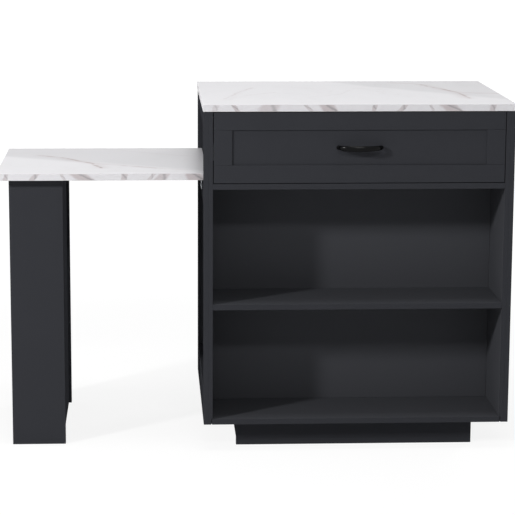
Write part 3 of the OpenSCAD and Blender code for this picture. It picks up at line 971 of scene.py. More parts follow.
@dataclass
class Screw:
    """A screw with a cross recess, modelled once and copied to each of its places."""

    radius: float
    height: float
    shank_radius: float
    shank_length: float
    rim: float = 0.7
    recess_length: float = 0.56
    recess_width: float = 0.13
    recess_floor: float = 0.4
    blank: bpy.types.Mesh | None = None

    def _model(self, shop: Workshop) -> None:
        """Models the screw, its head standing on the origin towards +Z.

        Args:
            shop: The workshop.
        """
        head = shop.disc("screw", (0, 0, self.height / 2), (0, 0, 1), self.radius, self.height)
        shop.dome(head, self.height * self.rim)
        long, short = self.radius * self.recess_length, self.radius * self.recess_width
        floor, top = self.height * self.recess_floor, self.height * 1.5
        shop.carve(head, [shop.block("recess", (-x, -y, floor), (x, y, top))
                          for x, y in ((long, short), (short, long))])
        shank = shop.disc("screw", (0, 0, -self.shank_length / 2), (0, 0, 1), self.shank_radius,
                          self.shank_length, 16)
        piece = shop.join("screw", (head, shank))
        shop.smooth(piece)
        self.blank = piece.data
        bpy.data.objects.remove(piece)

    def at(self, shop: Workshop, name: str, seat: Sequence[float],
           axis: Sequence[float]) -> bpy.types.Object:
        """Puts a copy of the screw in its place.

        Args:
            shop: The workshop.
            name: Name of the piece.
            seat: Middle of the face that the head lies on.
            axis: Direction in which the head stands out.

        Returns:
            The copy.
        """
        if self.blank is None:
            self._model(shop)
        mesh = self.blank.copy()
        turn = Vector((0, 0, 1)).rotation_difference(Vector(axis)).to_matrix().to_4x4()
        mesh.transform(Matrix.Translation(seat) @ turn)
        piece = bpy.data.objects.new(name, mesh)
        bpy.context.scene.collection.objects.link(piece)
        return piece

    def drive(self, shop: Workshop, node: str, seats: Sequence[tuple[Point, Point]]) -> None:
        """Puts in all the screws of a node as one piece.

        Args:
            shop: The workshop.
            node: Name of the node that they hold.
            seats: Middles of the faces that the heads lie on, and the heads' directions.
        """
        screws = [self.at(shop, f"{node}_screw", seat, axis) for seat, axis in seats]
        shop.gather(f"{node}_screws", screws, node, Finish.ZINC)


# ---------------------------------------------------------------- sub-assemblies


@dataclass
class Tops:
    """The worktop and the side table's top, both in marble-look laminate.

    The places of their prints are measured from each top's front left corner.
    """

    rounding: float = 0.9 * MM
    print_shift: float = 420 * MM
    veins: dict[str, tuple[Vein, ...]] = field(default_factory=lambda: {
        "worktop": (
            Vein(((0.636, 0.500), (0.660, 0.430), (0.708, 0.300), (0.716, 0.150)), 8 * MM, 1.0),
            Vein(((0.708, 0.296), (0.760, 0.272), (0.822, 0.262)), 7 * MM, 0.7),
            Vein(((0.560, 0.560), (0.612, 0.530), (0.640, 0.500)), 5 * MM, 0.6),
            Vein(((0.060, 0.120), (0.110, 0.330), (0.150, 0.420)), 5 * MM, 0.38),
            Vein(((0.120, 0.230), (0.205, 0.300)), 4 * MM, 0.3),
            Vein(((0.300, 0.180), (0.390, 0.260), (0.420, 0.360)), 3 * MM, 0.22),
        ),
        "table_top": (
            Vein(((0.095, 0.350), (0.158, 0.310), (0.205, 0.240), (0.246, 0.190), (0.270, 0.110)),
                 8 * MM, 1.0),
            Vein(((0.246, 0.190), (0.330, 0.150), (0.420, 0.100)), 7 * MM, 0.65),
            Vein(((0.420, 0.100), (0.520, 0.060)), 5 * MM, 0.4),
            Vein(((0.330, 0.450), (0.420, 0.380), (0.520, 0.330)), 4 * MM, 0.25),
        )})
    clouds: dict[str, tuple[Clouding, ...]] = field(default_factory=lambda: {
        "worktop": (
            Clouding((0.380, 0.550), (0.820, 0.080), 0.05, 0.75),
            Clouding((0.000, 0.600), (0.600, 0.560), 0.10, 0.35),
        ),
        "table_top": (
            Clouding((0.020, 0.300), (0.560, 0.020), 0.05, 0.9),
            Clouding((0.560, 0.000), (0.000, 0.020), 0.60, 0.3),
        )})
    patches: tuple[Patch, ...] = (
        Patch(0.032, 0.016, 0.4, 0.5),
        Patch(0.084, 0.012, -0.6, 1.0),
        Patch(0.172, 0.052, 0.5, 0.75),
        Patch(0.274, 0.012, -1.0, 0.7),
        Patch(0.326, 0.040, -0.6, 1.1),
        Patch(0.446, 0.010, 0.3, 0.9),
        Patch(0.520, 0.016, 1.0, 0.9),
        Patch(0.596, 0.008, -0.5, 0.6),
        Patch(0.646, 0.046, -1.3, 1.1),
        Patch(0.756, 0.016, 0.3, 0.9),
        Patch(0.828, 0.012, 0.8, 0.7),
        Patch(0.856, 0.030, 0.9, 0.9),
        Patch(0.942, 0.044, -0.6, 1.2),
    )

    def face(self, node: str) -> MarbleFace:
        """Lays out the print on a top's face.

        Args:
            node: Name of the top's node.

        Returns:
            The finish of its face.
        """
        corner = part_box(node)[0]

        def placed(point: tuple[float, float]) -> tuple[float, float]:
            """Moves a place on the top into the frame."""
            return corner.x + point[0], corner.y + point[1]

        veins = tuple(replace(vein, points=tuple(map(placed, vein.points)))
                      for vein in self.veins[node])
        clouds = tuple(replace(cloud, start=placed(cloud.start), end=placed(cloud.end))
                       for cloud in self.clouds[node])
        return MarbleFace(veins, clouds)

    def edge(self, node: str) -> MarbleEdge:
        """Lays out a top's edge band; the table's is further along the same print.

        Args:
            node: Name of the top's node.

        Returns:
            The finish of its edges.
        """
        low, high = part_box(node)
        shift = self.print_shift if node == "table_top" else 0.0
        return MarbleEdge(self.patches, low.x - shift, (low.z + high.z) / 2)

    def build(self, shop: Workshop) -> None:
        """Makes both tops.

        Args:
            shop: The workshop.
        """
        def side(normal: Vector) -> int:
            """Tells faces from edges and undersides."""
            return 0 if normal.z > UPRIGHT else 2 if normal.z < -UPRIGHT else 1

        for node, face, edge in (("worktop", Finish.WORKTOP_FACE, Finish.WORKTOP_EDGE),
                                 ("table_top", Finish.TABLE_FACE, Finish.TABLE_EDGE)):
            shop.clad(node, "laminated", (face, edge, Finish.BACKING), self.rounding, 3, choose=side)


@dataclass
class PaintedBoards:
    """Every painted board, with its edges eased; faces inside the cabinet take a lighter copy of the
    paint as painted light.
    """

    rounding: float = 0.7 * MM
    # Faces that point this way, into the cabinet, take the lighter copy of the paint: painted light.
    painted_light_sides: dict[str, Point] = field(default_factory=lambda: {
        "left_side_panel": (1, 0, 0), "right_side_panel": (-1, 0, 0), "partition_panel": (0, -1, 0),
        "open_shelf": (0, 0, 1), "bottom_board": (0, 0, 1), "cupboard_shelf": (0, 0, 1)})
    boards: tuple[str, ...] = (
        "left_side_panel", "left_front_stile", "left_rear_stile", "left_top_rail", "left_bottom_rail",
        "right_side_panel", "right_front_stile", "right_rear_stile", "right_top_rail",
        "right_bottom_rail", "bottom_board", "open_shelf", "divider_board", "partition_panel",
        "front_stretcher", "plinth_front_board", "plinth_rear_board", "plinth_side_boards",
        "cupboard_shelf", "table_support_rail", "leg_front_board", "leg_rear_board",
        "leg_left_board", "leg_right_board", "drawer_top_rail", "drawer_bottom_rail",
        "drawer_left_stile", "drawer_right_stile", "drawer_front_panel", "left_door_panel",
        "right_door_panel")

    def build(self, shop: Workshop) -> None:
        """Makes a painted copy of each board.

        Args:
            shop: The workshop.
        """
        for node in self.boards:
            inner = Vector(self.painted_light_sides.get(node, (0, 0, 0)))
            shop.clad(node, "painted", (Finish.PAINT, Finish.PAINT_EDGE, Finish.FOIL), self.rounding,
                      strip=1, choose=lambda normal: 2 if normal.dot(inner) > UPRIGHT else 0)


@dataclass
class Handle:
    """A black bow handle: two round feet and a flat bow that narrows towards them."""

    pitch: float = 112 * MM
    reach: float = 34 * MM
    foot_radius: float = 5.5 * MM
    foot_height: float = 5 * MM
    bow_height: float = 15 * MM
    bow_thickness: float = 6.4 * MM
    neck_height: float = 9.4 * MM
    neck_thickness: float = 7.6 * MM
    steps: int = 28
    section_sides: int = 20
    foot_sides: int = 40
    foot_rim: float = 0.9 * MM
    line_powers: tuple[float, float] = (0.92, 0.86)
    swelling: float = 0.8
    sharp: float = math.radians(40)
    screw_radius: float = 4 * MM
    screw_height: float = 2.5 * MM
    screw_shank_radius: float = 2 * MM

    def _line(self, share: float) -> tuple[float, float]:
        """Gives a point of the bow's centre line.

        Args:
            share: Place along the bow, from 0 at one foot to 1 at the other.

        Returns:
            The distance along the handle from its middle, and the reach there.
        """
        angle = math.pi * share
        rise = self.reach - self.bow_thickness / 2
        across, out = self.line_powers
        spread = math.copysign(abs(math.cos(angle)) ** across, math.cos(angle))
        return -self.pitch / 2 * spread, rise * math.sin(angle) ** out

    def _bow(self, name: str) -> bpy.types.Object:
        """Draws the bow out of one rounded section, step by step along its line.

        Args:
            name: Name of the piece.

        Returns:
            The bow, its feet on y = 0 and its middle at the origin.
        """
        places = [self._line(step / self.steps) for step in range(self.steps + 1)]
        bpy.ops.object.select_all(action="DESELECT")
        bpy.ops.mesh.primitive_circle_add(vertices=self.section_sides, radius=0.5, fill_type="NGON")
        piece = bpy.context.active_object
        piece.scale = (self.neck_thickness, self.neck_height, 1.0)
        piece.rotation_euler = (math.pi / 2, 0.0, 0.0)
        piece.location = (places[0][0], 0.0, 0.0)
        bpy.ops.object.transform_apply(location=True, rotation=True, scale=True)
        bpy.ops.object.mode_set(mode="EDIT")
        bpy.ops.mesh.select_all(action="SELECT")
        heading = math.pi / 2
        height = self.neck_height
        for step in range(1, self.steps + 1):
            (x0, y0), (x1, y1) = places[step - 1], places[step]
            bpy.ops.mesh.extrude_region_move(
                TRANSFORM_OT_translate={"value": (x1 - x0, -(y1 - y0), 0.0)})
            ahead = places[min(step + 1, self.steps)]
            course = math.atan2(ahead[1] - y0, ahead[0] - x0) if step < self.steps else -math.pi / 2
            bpy.ops.transform.rotate(value=course - heading, orient_axis="Z",
                                     center_override=(x1, -y1, 0.0))
            heading = course
            fullness = math.sin(math.pi * step / self.steps) ** self.swelling
            wanted = self.neck_height + (self.bow_height - self.neck_height) * fullness
            bpy.ops.transform.resize(value=(1.0, 1.0, wanted / height), center_override=(x1, -y1, 0.0))
            height = wanted
        bpy.ops.object.mode_set(mode="OBJECT")
        piece.name = name
        return piece

    def build(self, shop: Workshop, node: str, board: str, facing: Point, along: Point) -> None:
        """Makes a handle and puts it in place of its construction node.

        Args:
            shop: The workshop.
            node: Name of the construction node.
            board: Name of the board that the handle is screwed to.
            facing: Direction in which the handle stands out, along Y.
            along: Direction of the handle's length.
        """
        low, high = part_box(node)
        back, front = sorted((corner.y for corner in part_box(board)), key=lambda y: y * facing[1])
        panel = abs(front - back)
        pieces = [self._bow(f"{node}_bow")]
        screw = Screw(self.screw_radius, self.screw_height, self.screw_shank_radius, panel)
        for x in (-self.pitch / 2, self.pitch / 2):
            foot = shop.disc(f"{node}_foot", (x, -self.foot_height / 2, 0.0), (0, -1, 0),
                             self.foot_radius, self.foot_height, self.foot_sides)
            shop.dome(foot, self.foot_rim)
            pieces += [foot, screw.at(shop, f"{node}_screw", (x, panel, 0.0), (0, 1, 0))]
        piece = shop.join(f"{node}_coated", pieces)
        out, length = Vector(facing), Vector(along)
        turn = Matrix((length, -out, length.cross(-out))).transposed().to_4x4()
        middle = (low + high) / 2
        piece.matrix_world = Matrix.Translation((middle.x, front, middle.z)) @ turn
        bpy.ops.object.transform_apply(location=True, rotation=True, scale=True)
        shop.smooth(piece, self.sharp)
        shop.dress(piece, Finish.BLACK)
        shop.give(piece, shop.body_of(node), Finish.BLACK, node)


@dataclass
class Drawer:
    """The drawer's box and its handle."""

    rounding: float = 0.5 * MM
    handle: Handle = field(default_factory=Handle)

    def build(self, shop: Workshop) -> None:
        """Makes the box's boards and the handle.

        Args:
            shop: The workshop.
        """
        def lower(normal: Vector) -> int:
            """Leaves the underside of the bottom bare."""
            return 1 if normal.z < -UPRIGHT else 0

        for node in ("drawer_left_side", "drawer_right_side", "drawer_back"):
            shop.clad(node, "faced", (Finish.MELAMINE,), self.rounding)
        shop.clad("drawer_bottom", "faced", (Finish.MELAMINE, Finish.FIBREBOARD), self.rounding,
                  choose=lower)
        self.handle.build(shop, "drawer_handle", "drawer_front_panel", (0, -1, 0), (1, 0, 0))


@dataclass
class SawnFront:
    """A framed front that is one solid in the construction, sawn here into its boards."""

    rail_height: float
    rounding: float = 0.7 * MM
    kerf: float = 0.02 * MM

    def saw(self, shop: Workshop, node: str,
            between: dict[str, Sequence[tuple[Point, Point]]]) -> None:
        """Saws a front into two rails and the boards between them, with fine joint lines.

        Args:
            shop: The workshop.
            node: Name of the front's node.
            between: The boards between the rails, each with the points and directions of its own cuts.
        """
        low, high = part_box(node)
        bottom, top = low.z + self.rail_height, high.z - self.rail_height
        level = (((0, 0, bottom + self.kerf), (0, 0, -1)), ((0, 0, top - self.kerf), (0, 0, 1)))
        cuts = {
            "lower_rail": (((0, 0, bottom - self.kerf), (0, 0, 1)),),
            "upper_rail": (((0, 0, top + self.kerf), (0, 0, -1)),),
            **{name: (*own, *level) for name, own in between.items()},
        }
        boards = []
        for name, planes in cuts.items():
            board = shop.copy_of(node, f"{node}_{name}")
            for point, normal in planes:
                shop.cut(board, point, normal)
            shop.dress(board, Finish.PAINT, Finish.PAINT_EDGE)
            shop.ease(board, self.rounding, strip=1)
            boards.append(board)
        shop.give(shop.join(f"{node}_painted", boards), shop.body_of(node), Finish.PAINT, node)


@dataclass
class RearDoors(SawnFront):
    """The frames and handles of the two doors at the back."""

    rail_height: float = 60 * MM
    handle: Handle = field(default_factory=Handle)

    def build(self, shop: Workshop) -> None:
        """Makes both doors' frames and handles.

        Args:
            shop: The workshop.
        """
        for side in ("left", "right"):
            frame = f"{side}_door_frame"
            low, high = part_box(frame)
            middle = ((low.x + high.x) / 2, 0, 0)
            self.saw(shop, frame, {"left_upright": ((middle, (1, 0, 0)),),
                                   "right_upright": ((middle, (-1, 0, 0)),)})
            self.handle.build(shop, f"{side}_door_handle", frame, (0, 1, 0), (0, 0, 1))


@dataclass
class RearFascia(SawnFront):
    """The fixed front over the doors, of rails and uprights round a sunk panel."""

    rail_height: float = 47 * MM
    upright_width: float = 48 * MM

    def build(self, shop: Workshop) -> None:
        """Makes the fascia's boards.

        Args:
            shop: The workshop.
        """
        low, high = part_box("rear_fascia")
        left, right = low.x + self.upright_width, high.x - self.upright_width
        self.saw(shop, "rear_fascia", {
            "left_upright": (((left - self.kerf, 0, 0), (1, 0, 0)),),
            "right_upright": (((right + self.kerf, 0, 0), (-1, 0, 0)),),
            "panel": (((left + self.kerf, 0, 0), (-1, 0, 0)), ((right - self.kerf, 0, 0), (1, 0, 0))),
        })


@dataclass
class Runners:
    """The drawer's runners: three nested rails of bent sheet on each side, slotted and screwed."""

    sheet: float = 1.2 * MM
    slot_radius: float = 2.4 * MM
    slot_length: float = 13 * MM
    hole_radius: float = 3.7 * MM
    slots: tuple[float, ...] = (62 * MM, 106 * MM, 226 * MM, 344 * MM, 388 * MM)
    screws: tuple[float, ...] = (34 * MM, 165 * MM, 287 * MM, 416 * MM)
    middle_slots: tuple[float, ...] = (30 * MM, 130 * MM, 225 * MM, 320 * MM, 420 * MM)
    rounding: float = 0.35 * MM
    shortest_edge: float = 30 * MM
    screw: Screw = field(default_factory=lambda: Screw(3.4 * MM, 1.1 * MM, 1.6 * MM, 8 * MM, 0.15))

    def build(self, shop: Workshop) -> None:
        """Makes the six rails.

        Args:
            shop: The workshop.
        """
        for side, way in (("left", -1), ("right", 1)):
            self._rail(shop, f"{side}_cabinet_runner", way, True)
            self._rail(shop, f"{side}_middle_runner", way, False)
            self._rail(shop, f"{side}_drawer_runner", -way, True)

    def _rail(self, shop: Workshop, node: str, way: int, screwed: bool) -> None:
        """Makes one rail.

        Args:
            shop: The workshop.
            node: Name of the rail's node.
            way: Side of the rail's web: 1 for its highest x and -1 for its lowest.
            screwed: Whether screws hold the rail.
        """
        low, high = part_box(node)
        web = (high.x if way > 0 else low.x) - way * self.sheet
        height = (low.z + high.z) / 2
        rail = shop.copy_of(node, f"{node}_bent")
        holes = [shop.slot_cutter((web, low.y + y, height), (1, 0, 0), (0, 1, 0), self.slot_radius,
                                  4 * self.sheet, self.slot_length)
                 for y in (self.slots if screwed else self.middle_slots)]
        seats = [(web, low.y + y, height) for y in self.screws] if screwed else []
        holes += [shop.disc("hole", seat, (1, 0, 0), self.hole_radius, 4 * self.sheet) for seat in seats]
        shop.carve(rail, holes)
        shop.dress(rail, Finish.ZINC)
        shop.ease(rail, self.rounding, shortest=self.shortest_edge)
        shop.give(rail, shop.body_of(node), Finish.ZINC, node)
        if seats:
            self.screw.drive(shop, node, [((x + way * self.screw.height, y, z), (-way, 0, 0))
                                          for x, y, z in seats])


@dataclass
class Hinges:
    """The doors' butt hinges: leaves with sunk screws, and pins with domed tips."""

    height: float = 64 * MM
    door_face: float = 1.0 * MM
    cabinet_face: float = 0.2 * MM
    hole_radius: float = 3.3 * MM
    drilling: float = 3 * MM
    places: tuple[tuple[float, float], ...] = (
        (12 * MM, 9 * MM), (6 * MM, 32 * MM), (12 * MM, 55 * MM))
    tip_radius: float = 2.4 * MM
    tip_height: float = 1.6 * MM
    tip_dome: float = 0.45
    rounding: float = 0.2 * MM
    shortest_edge: float = 11 * MM
    screw: Screw = field(default_factory=lambda: Screw(3.0 * MM, 1.1 * MM, 1.5 * MM, 9 * MM, 0.15))

    def build(self, shop: Workshop) -> None:
        """Makes the leaves of the cabinet and of both doors.

        Args:
            shop: The workshop.
        """
        cabinet = shop.copy_of("cabinet_hinge_leaves", "cabinet_hinge_leaves_drilled")
        seats: list[tuple[Point, Point]] = []
        tips = []
        for side, way in (("left", -1), ("right", 1)):
            node = f"{side}_door_hinge_leaves"
            low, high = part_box(node)
            pin = Vector(((low.x + high.x) / 2, high.y, 0.0))
            levels = (low.z, high.z - self.height)
            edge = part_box(f"{side}_door_frame")[1].y
            door = shop.copy_of(node, f"{node}_drilled")
            door_seats = self._seats(pin.x - way * self.door_face, edge, levels, way)
            seats += self._seats(pin.x - way * self.cabinet_face, edge, levels, -way)
            self._finish(shop, node, door, door_seats)
            barrel = (high.y + edge) / 2
            for level in levels:
                for place in (level - self.tip_height / 2, level + self.height + self.tip_height / 2):
                    tip = shop.disc("hinge_tip", (pin.x, barrel, place), (0, 0, 1), self.tip_radius,
                                    self.tip_height)
                    shop.dome(tip, self.tip_height * self.tip_dome)
                    shop.smooth(tip)
                    tips.append(tip)
        self._finish(shop, "cabinet_hinge_leaves", cabinet, seats)
        shop.gather("hinge_pin_tips", tips, "cabinet_hinge_leaves", Finish.ZINC)

    def _seats(self, face: float, edge: float, levels: Sequence[float],
               way: int) -> list[tuple[Point, Point]]:
        """Lists a side's screw places as points on the leaf's face and directions out of it."""
        return [((face, edge - across, level + up), (way, 0, 0))
                for level in levels for across, up in self.places]

    def _finish(self, shop: Workshop, node: str, leaves: bpy.types.Object,
                seats: Sequence[tuple[Point, Point]]) -> None:
        """Drills leaves, rounds their edges and puts their screws in.

        Args:
            shop: The workshop.
            node: Name of the leaves' node.
            leaves: The leaves.
            seats: Points on their faces, and the directions out of them.
        """
        shop.carve(leaves, [shop.disc("hole", seat, out, self.hole_radius, self.drilling)
                            for seat, out in seats])
        shop.dress(leaves, Finish.ZINC)
        shop.ease(leaves, self.rounding, shortest=self.shortest_edge)
        shop.give(leaves, shop.body_of(node), Finish.ZINC, node)
        self.screw.drive(shop, node, [(Vector(seat) - Vector(out) * self.screw.height, out)
                                      for seat, out in seats])


@dataclass
class Catches:
    """Magnetic catches under the divider, and the strike plates on the doors."""

    width: float = 40 * MM
    case_setback: float = 0.8 * MM
    case_rounding: float = 0.9 * MM
    lug: float = 6.5 * MM
    pole_width: float = 24 * MM
    pole_thickness: float = 1.5 * MM
    pole_length: float = 9 * MM
    magnet_height: float = 4 * MM
    magnet_length: float = 6 * MM
    magnet_setback: float = 0.4 * MM
    magnet_rounding: float = 0.2 * MM
    plate_size: tuple[float, float] = (36 * MM, 13 * MM)
    plate_thickness: float = 1.2 * MM
    plate_proud: float = 0.15 * MM
    plate_screws: float = 0.72
    plate_hole_radius: float = 2.6 * MM
    metal_rounding: float = 0.25 * MM
    screw: Screw = field(default_factory=lambda: Screw(2.4 * MM, 1.0 * MM, 1.2 * MM, 8 * MM, 0.4))

    def build(self, shop: Workshop) -> None:
        """Makes both catches and both plates.

        Args:
            shop: The workshop.
        """
        low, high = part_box("door_catches")
        face, height, magnet_half = high.y, (low.z + high.z) / 2, self.magnet_height / 2
        cases, metal = [], []
        for side, left in (("left", low.x), ("right", high.x - self.width)):
            right, middle = left + self.width, left + self.width / 2
            start, end = middle - self.pole_width / 2, middle + self.pole_width / 2
            case = shop.block("catch_case", (left, low.y, low.z),
                              (right, face - self.case_setback, high.z))
            shop.carve(case, [
                shop.block("lug_cutter", (x0, low.y - MM, low.z - MM), (x1, face + MM, height - MM))
                for x0, x1 in ((left - MM, left + self.lug), (right - self.lug, right + MM))])
            shop.dress(case, Finish.CATCH)
            shop.ease(case, self.case_rounding, 3, shortest=3 * MM)
            magnet = shop.block(
                "catch_magnet", (start, face - self.magnet_length, height - magnet_half),
                (end, face - self.magnet_setback, height + magnet_half))
            shop.dress(magnet, Finish.BLACK)
            shop.ease(magnet, self.magnet_rounding, 1, shortest=MM)
            cases += [case, magnet]
            for z in (height - magnet_half - self.pole_thickness, height + magnet_half):
                pole = shop.block("catch_pole", (start, face - self.pole_length, z),
                                  (end, face, z + self.pole_thickness))
                shop.ease(pole, self.metal_rounding, shortest=MM)
                metal.append(pole)
            depth = (low.y + face) / 2
            metal += [self.screw.at(shop, "catch_screw", (x, depth, height - MM), (0, 0, -1))
                      for x in (left + self.lug / 2, right - self.lug / 2)]
            self._plate(shop, side, middle)
        shop.give(shop.join("door_catch_cases", cases), shop.body_of("door_catches"), Finish.CATCH,
                  "door_catches")
        shop.gather("door_catch_poles", metal, "door_catches", Finish.ZINC)

    def _plate(self, shop: Workshop, side: str, middle: float) -> None:
        """Makes the strike plate that a catch holds, let into the back of a door.

        Args:
            shop: The workshop.
            side: Side of the door.
            middle: Middle of the plate along X.
        """
        low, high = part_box(f"{side}_door_frame")
        half, height = self.plate_size[0] / 2, self.plate_size[1]
        face, top = low.y - self.plate_proud, high.z - MM
        plate = shop.block(f"{side}_strike_plate", (middle - half, face, top - height),
                           (middle + half, face + self.plate_thickness, top))
        seats = [(x, face, top - height / 2)
                 for x in (middle - half * self.plate_screws, middle + half * self.plate_screws)]
        shop.carve(plate, [shop.disc("hole", seat, (0, 1, 0), self.plate_hole_radius, 4 * MM)
                           for seat in seats])
        shop.ease(plate, self.metal_rounding, shortest=MM)
        screws = [self.screw.at(shop, "plate_screw", (x, y + self.screw.height, z), (0, -1, 0))
                  for x, y, z in seats]
        shop.gather(f"{side}_strike_plate", [plate, *screws], f"{side}_door_frame", Finish.ZINC)


@dataclass
class TableFixings:
    """The angle brackets and the screws that hold the side table."""

    screw: Screw = field(default_factory=lambda: Screw(4 * MM, 2 * MM, 2 * MM, 13 * MM))
    long_screw: Screw = field(default_factory=lambda: Screw(4 * MM, 2 * MM, 2 * MM, 32 * MM))
    sheet: float = 2 * MM
    rounding: float = 0.5 * MM
    holes: tuple[float, float] = (16 * MM, 30 * MM)
    bracket_width: float = 30 * MM
    block_pitch: tuple[float, float] = (56 * MM, 288 * MM)

    def build(self, shop: Workshop) -> None:
        """Makes the brackets and all the screws.

        Args:
            shop: The workshop.
        """
        shop.clad("table_brackets", "bent", (Finish.ZINC,), self.rounding, 3, shortest=8 * MM)
        low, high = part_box("table_brackets")
        seats = []
        for y in (low.y + self.bracket_width / 2, high.y - self.bracket_width / 2):
            for hole in self.holes:
                seats += [((high.x - hole, y, high.z - self.sheet), (0, 0, -1)),
                          ((high.x - self.sheet, y, high.z - hole), (-1, 0, 0))]
        screws = [self.screw.at(shop, "table_screw", seat, axis) for seat, axis in seats]
        low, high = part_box("leg_top_block")
        middle = (low + high) / 2
        for x in (-self.block_pitch[0] / 2, self.block_pitch[0] / 2):
            for y in (-self.block_pitch[1] / 2, self.block_pitch[1] / 2):
                screws.append(self.long_screw.at(
                    shop, "table_screw", (middle.x + x, middle.y + y, low.z), (0, 0, -1)))
        shop.gather("table_screws_threaded", screws, "table_screws", Finish.ZINC, "table_screws")


@dataclass
class SmallFittings:
    """Cams, bolts, dowels, shelf pins, the leg's block and the dark joints of the bottom board."""

    metal_rounding: float = 0.3 * MM
    block_rounding: float = 0.6 * MM
    joint_setback: float = 6 * MM
    joint_width: float = 2 * MM
    joint_play: float = 0.5 * MM
    joint_rounding: float = 0.4 * MM

    def build(self, shop: Workshop) -> None:
        """Finishes the small fittings.

        Args:
            shop: The workshop.
        """
        for node in ("cam_discs", "shelf_pins"):
            shop.clad(node, "turned", (Finish.ZINC,), self.metal_rounding, shortest=0.5 * MM)
        shop.clad("leg_top_block", "planed", (Finish.BEECH,), self.block_rounding)
        shop.repaint("cam_bolts", Finish.ZINC)
        shop.repaint("dowels", Finish.BEECH)
        self._joints(shop)

    def _joints(self, shop: Workshop) -> None:
        """Fills the play at the ends of the bottom board, set back so that a dark line stays in front.

        Args:
            shop: The workshop.
        """
        low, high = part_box("bottom_board")
        strips = []
        for end, way in ((low.x, -1), (high.x, 1)):
            left, right = sorted((end, end + way * self.joint_width))
            strip = shop.block(
                "joint_strip", (left, low.y + self.joint_setback, low.z + self.joint_play),
                (right, high.y - self.joint_setback, high.z - self.joint_play))
            shop.ease(strip, self.joint_rounding)
            strips.append(strip)
        shop.gather("bottom_board_joint_strips", strips, "bottom_board", Finish.PAINT)


# ---------------------------------------------------------------------- studio


@dataclass(frozen=True)
class Lamp:
    """A soft lamp: its name, where it hangs, its width and height, and its power in watts."""

    name: str
    place: Point
    size: tuple[float, float]
    power: float


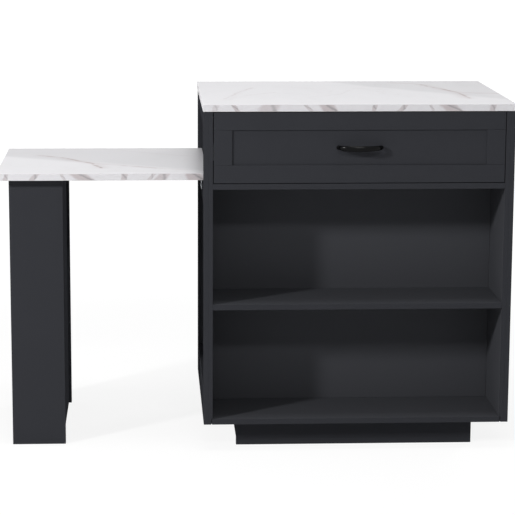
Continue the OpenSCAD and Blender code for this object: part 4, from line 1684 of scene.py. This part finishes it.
@dataclass(frozen=True)
class Studio:
    """Camera, lamps, floor and background."""

    camera_place: Point = (-0.2835, -5.1935, 1.4871)
    pitch: float = -9.847
    yaw: float = 2.571
    roll: float = 0.149
    lens: float = 132.8
    shift: tuple[float, float] = (0.05, -0.08)
    lamps: tuple[Lamp, ...] = (
        Lamp("main_lamp", (-3.67, -2.69, 2.46), (0.4, 0.4), 143.0),
        Lamp("fill_lamp", (0.2, -3.9, 3.0), (1.8, 0.35), 39.0),
        Lamp("top_lamp", (0.1, -0.6, 4.6), (1.6, 1.0), 45.0),
        Lamp("rear_lamp", (3.4, 4.4, 1.2), (1.2, 0.8), 140.0),
    )
    aim: Point = (0.27, -0.1, 0.5)
    ambient: float = 0.3
    floor_reach: float = 40.0
    floor_drop: float = 0.3 * MM
    floor_seen: Colour = (0.86, 0.86, 0.86, 1.0)
    floor_lighting: Colour = (0.8, 0.8, 0.8, 1.0)
    floor_white: float = 1.07
    floor_fade: tuple[float, float] = (3.0, 1.2)
    floor_shadow: float = 0.2

    def build(self) -> None:
        """Sets up everything round the object."""
        self._camera()
        for lamp in self.lamps:
            self._hang(lamp)
        self._world()
        self._floor()
        bpy.context.scene.view_settings.view_transform = "Standard"

    def _camera(self) -> None:
        """Puts the camera where the photograph was taken from."""
        data = bpy.data.cameras.new("camera")
        data.lens = self.lens
        data.shift_x, data.shift_y = self.shift
        camera = bpy.data.objects.new("camera", data)
        bpy.context.scene.collection.objects.link(camera)
        camera.matrix_world = (
            Matrix.Translation(self.camera_place)
            @ Matrix.Rotation(math.radians(-self.yaw), 4, "Z")
            @ Matrix.Rotation(math.radians(90 + self.pitch), 4, "X")
            @ Matrix.Rotation(math.radians(self.roll), 4, "Z"))
        bpy.context.scene.camera = camera

    def _hang(self, lamp: Lamp) -> None:
        """Hangs a lamp and points it at the object.

        Args:
            lamp: The lamp.
        """
        data = bpy.data.lights.new(lamp.name, "AREA")
        data.shape = "ELLIPSE"
        data.size, data.size_y = lamp.size
        data.energy = lamp.power
        hung = bpy.data.objects.new(lamp.name, data)
        bpy.context.scene.collection.objects.link(hung)
        hung.location = lamp.place
        turn = (Vector(self.aim) - Vector(lamp.place)).to_track_quat("-Z", "Y")
        hung.rotation_euler = turn.to_euler()

    def _world(self) -> None:
        """Makes a soft surround that looks white but lights the object plainly."""
        world = bpy.data.worlds.new("surround")
        bpy.context.scene.world = world
        graph = Graph(world)
        shown = self._seen_directly(graph)
        strength = self.ambient + shown * (1.0 - self.ambient)
        graph.end(graph.node("ShaderNodeBackground", inputs={
            "Color": (1.0, 1.0, 1.0, 1.0), "Strength": strength}))

    @staticmethod
    def _seen_directly(graph: Graph) -> Wire:
        """Gives 1 where the camera looks, straight or by a reflection or through glass, and else 0.

        Args:
            graph: The graph that asks.

        Returns:
            The share.
        """
        seen, glossy, through = (graph.node("ShaderNodeLightPath", output=f"Is {kind} Ray")
                                 for kind in ("Camera", "Glossy", "Transmission"))
        return seen.largest(glossy).largest(through)

    def _floor(self) -> None:
        """Lays a pale floor that shows the object's shadow near it and fades to white."""
        bpy.ops.object.select_all(action="DESELECT")
        bpy.ops.mesh.primitive_circle_add(vertices=64, radius=self.floor_reach, fill_type="NGON",
                                          location=(0.0, 0.0, -self.floor_drop))
        floor = bpy.context.active_object
        floor.name = "studio_floor"
        graph = Graph.material("studio_floor")
        distance = graph.vector("LENGTH", graph.place, (0.0, 0.0, 0.0), "Value")
        near = distance.ramp(*self.floor_fade)
        shown = self._seen_directly(graph)
        colour = graph.mix(shown, self.floor_lighting, self.floor_seen)
        pale = graph.node("ShaderNodeBsdfDiffuse", inputs={"Color": colour})
        white = graph.node("ShaderNodeEmission", inputs={"Strength": self.floor_white})
        floor.data.materials.append(graph.end(graph.node("ShaderNodeMixShader", inputs={
            0: shown * (1.0 - self.floor_shadow * near), 1: pale, 2: white})))


def main() -> None:
    """Builds the whole scene round the construction model."""
    logging.basicConfig(level=logging.INFO, format="%(name)s: %(message)s")
    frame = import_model()
    bpy.ops.object.select_all(action="DESELECT")
    Studio().build()
    tops = Tops()
    palette = Palette()
    palette.mix_all(tops)
    shop = Workshop(frame, palette)
    tops.build(shop)
    PaintedBoards().build(shop)
    RearFascia().build(shop)
    Drawer().build(shop)
    RearDoors().build(shop)
    for fittings in (Runners(), Hinges(), Catches(), TableFixings(), SmallFittings()):
        fittings.build(shop)


if __name__ == "__main__":
    main()
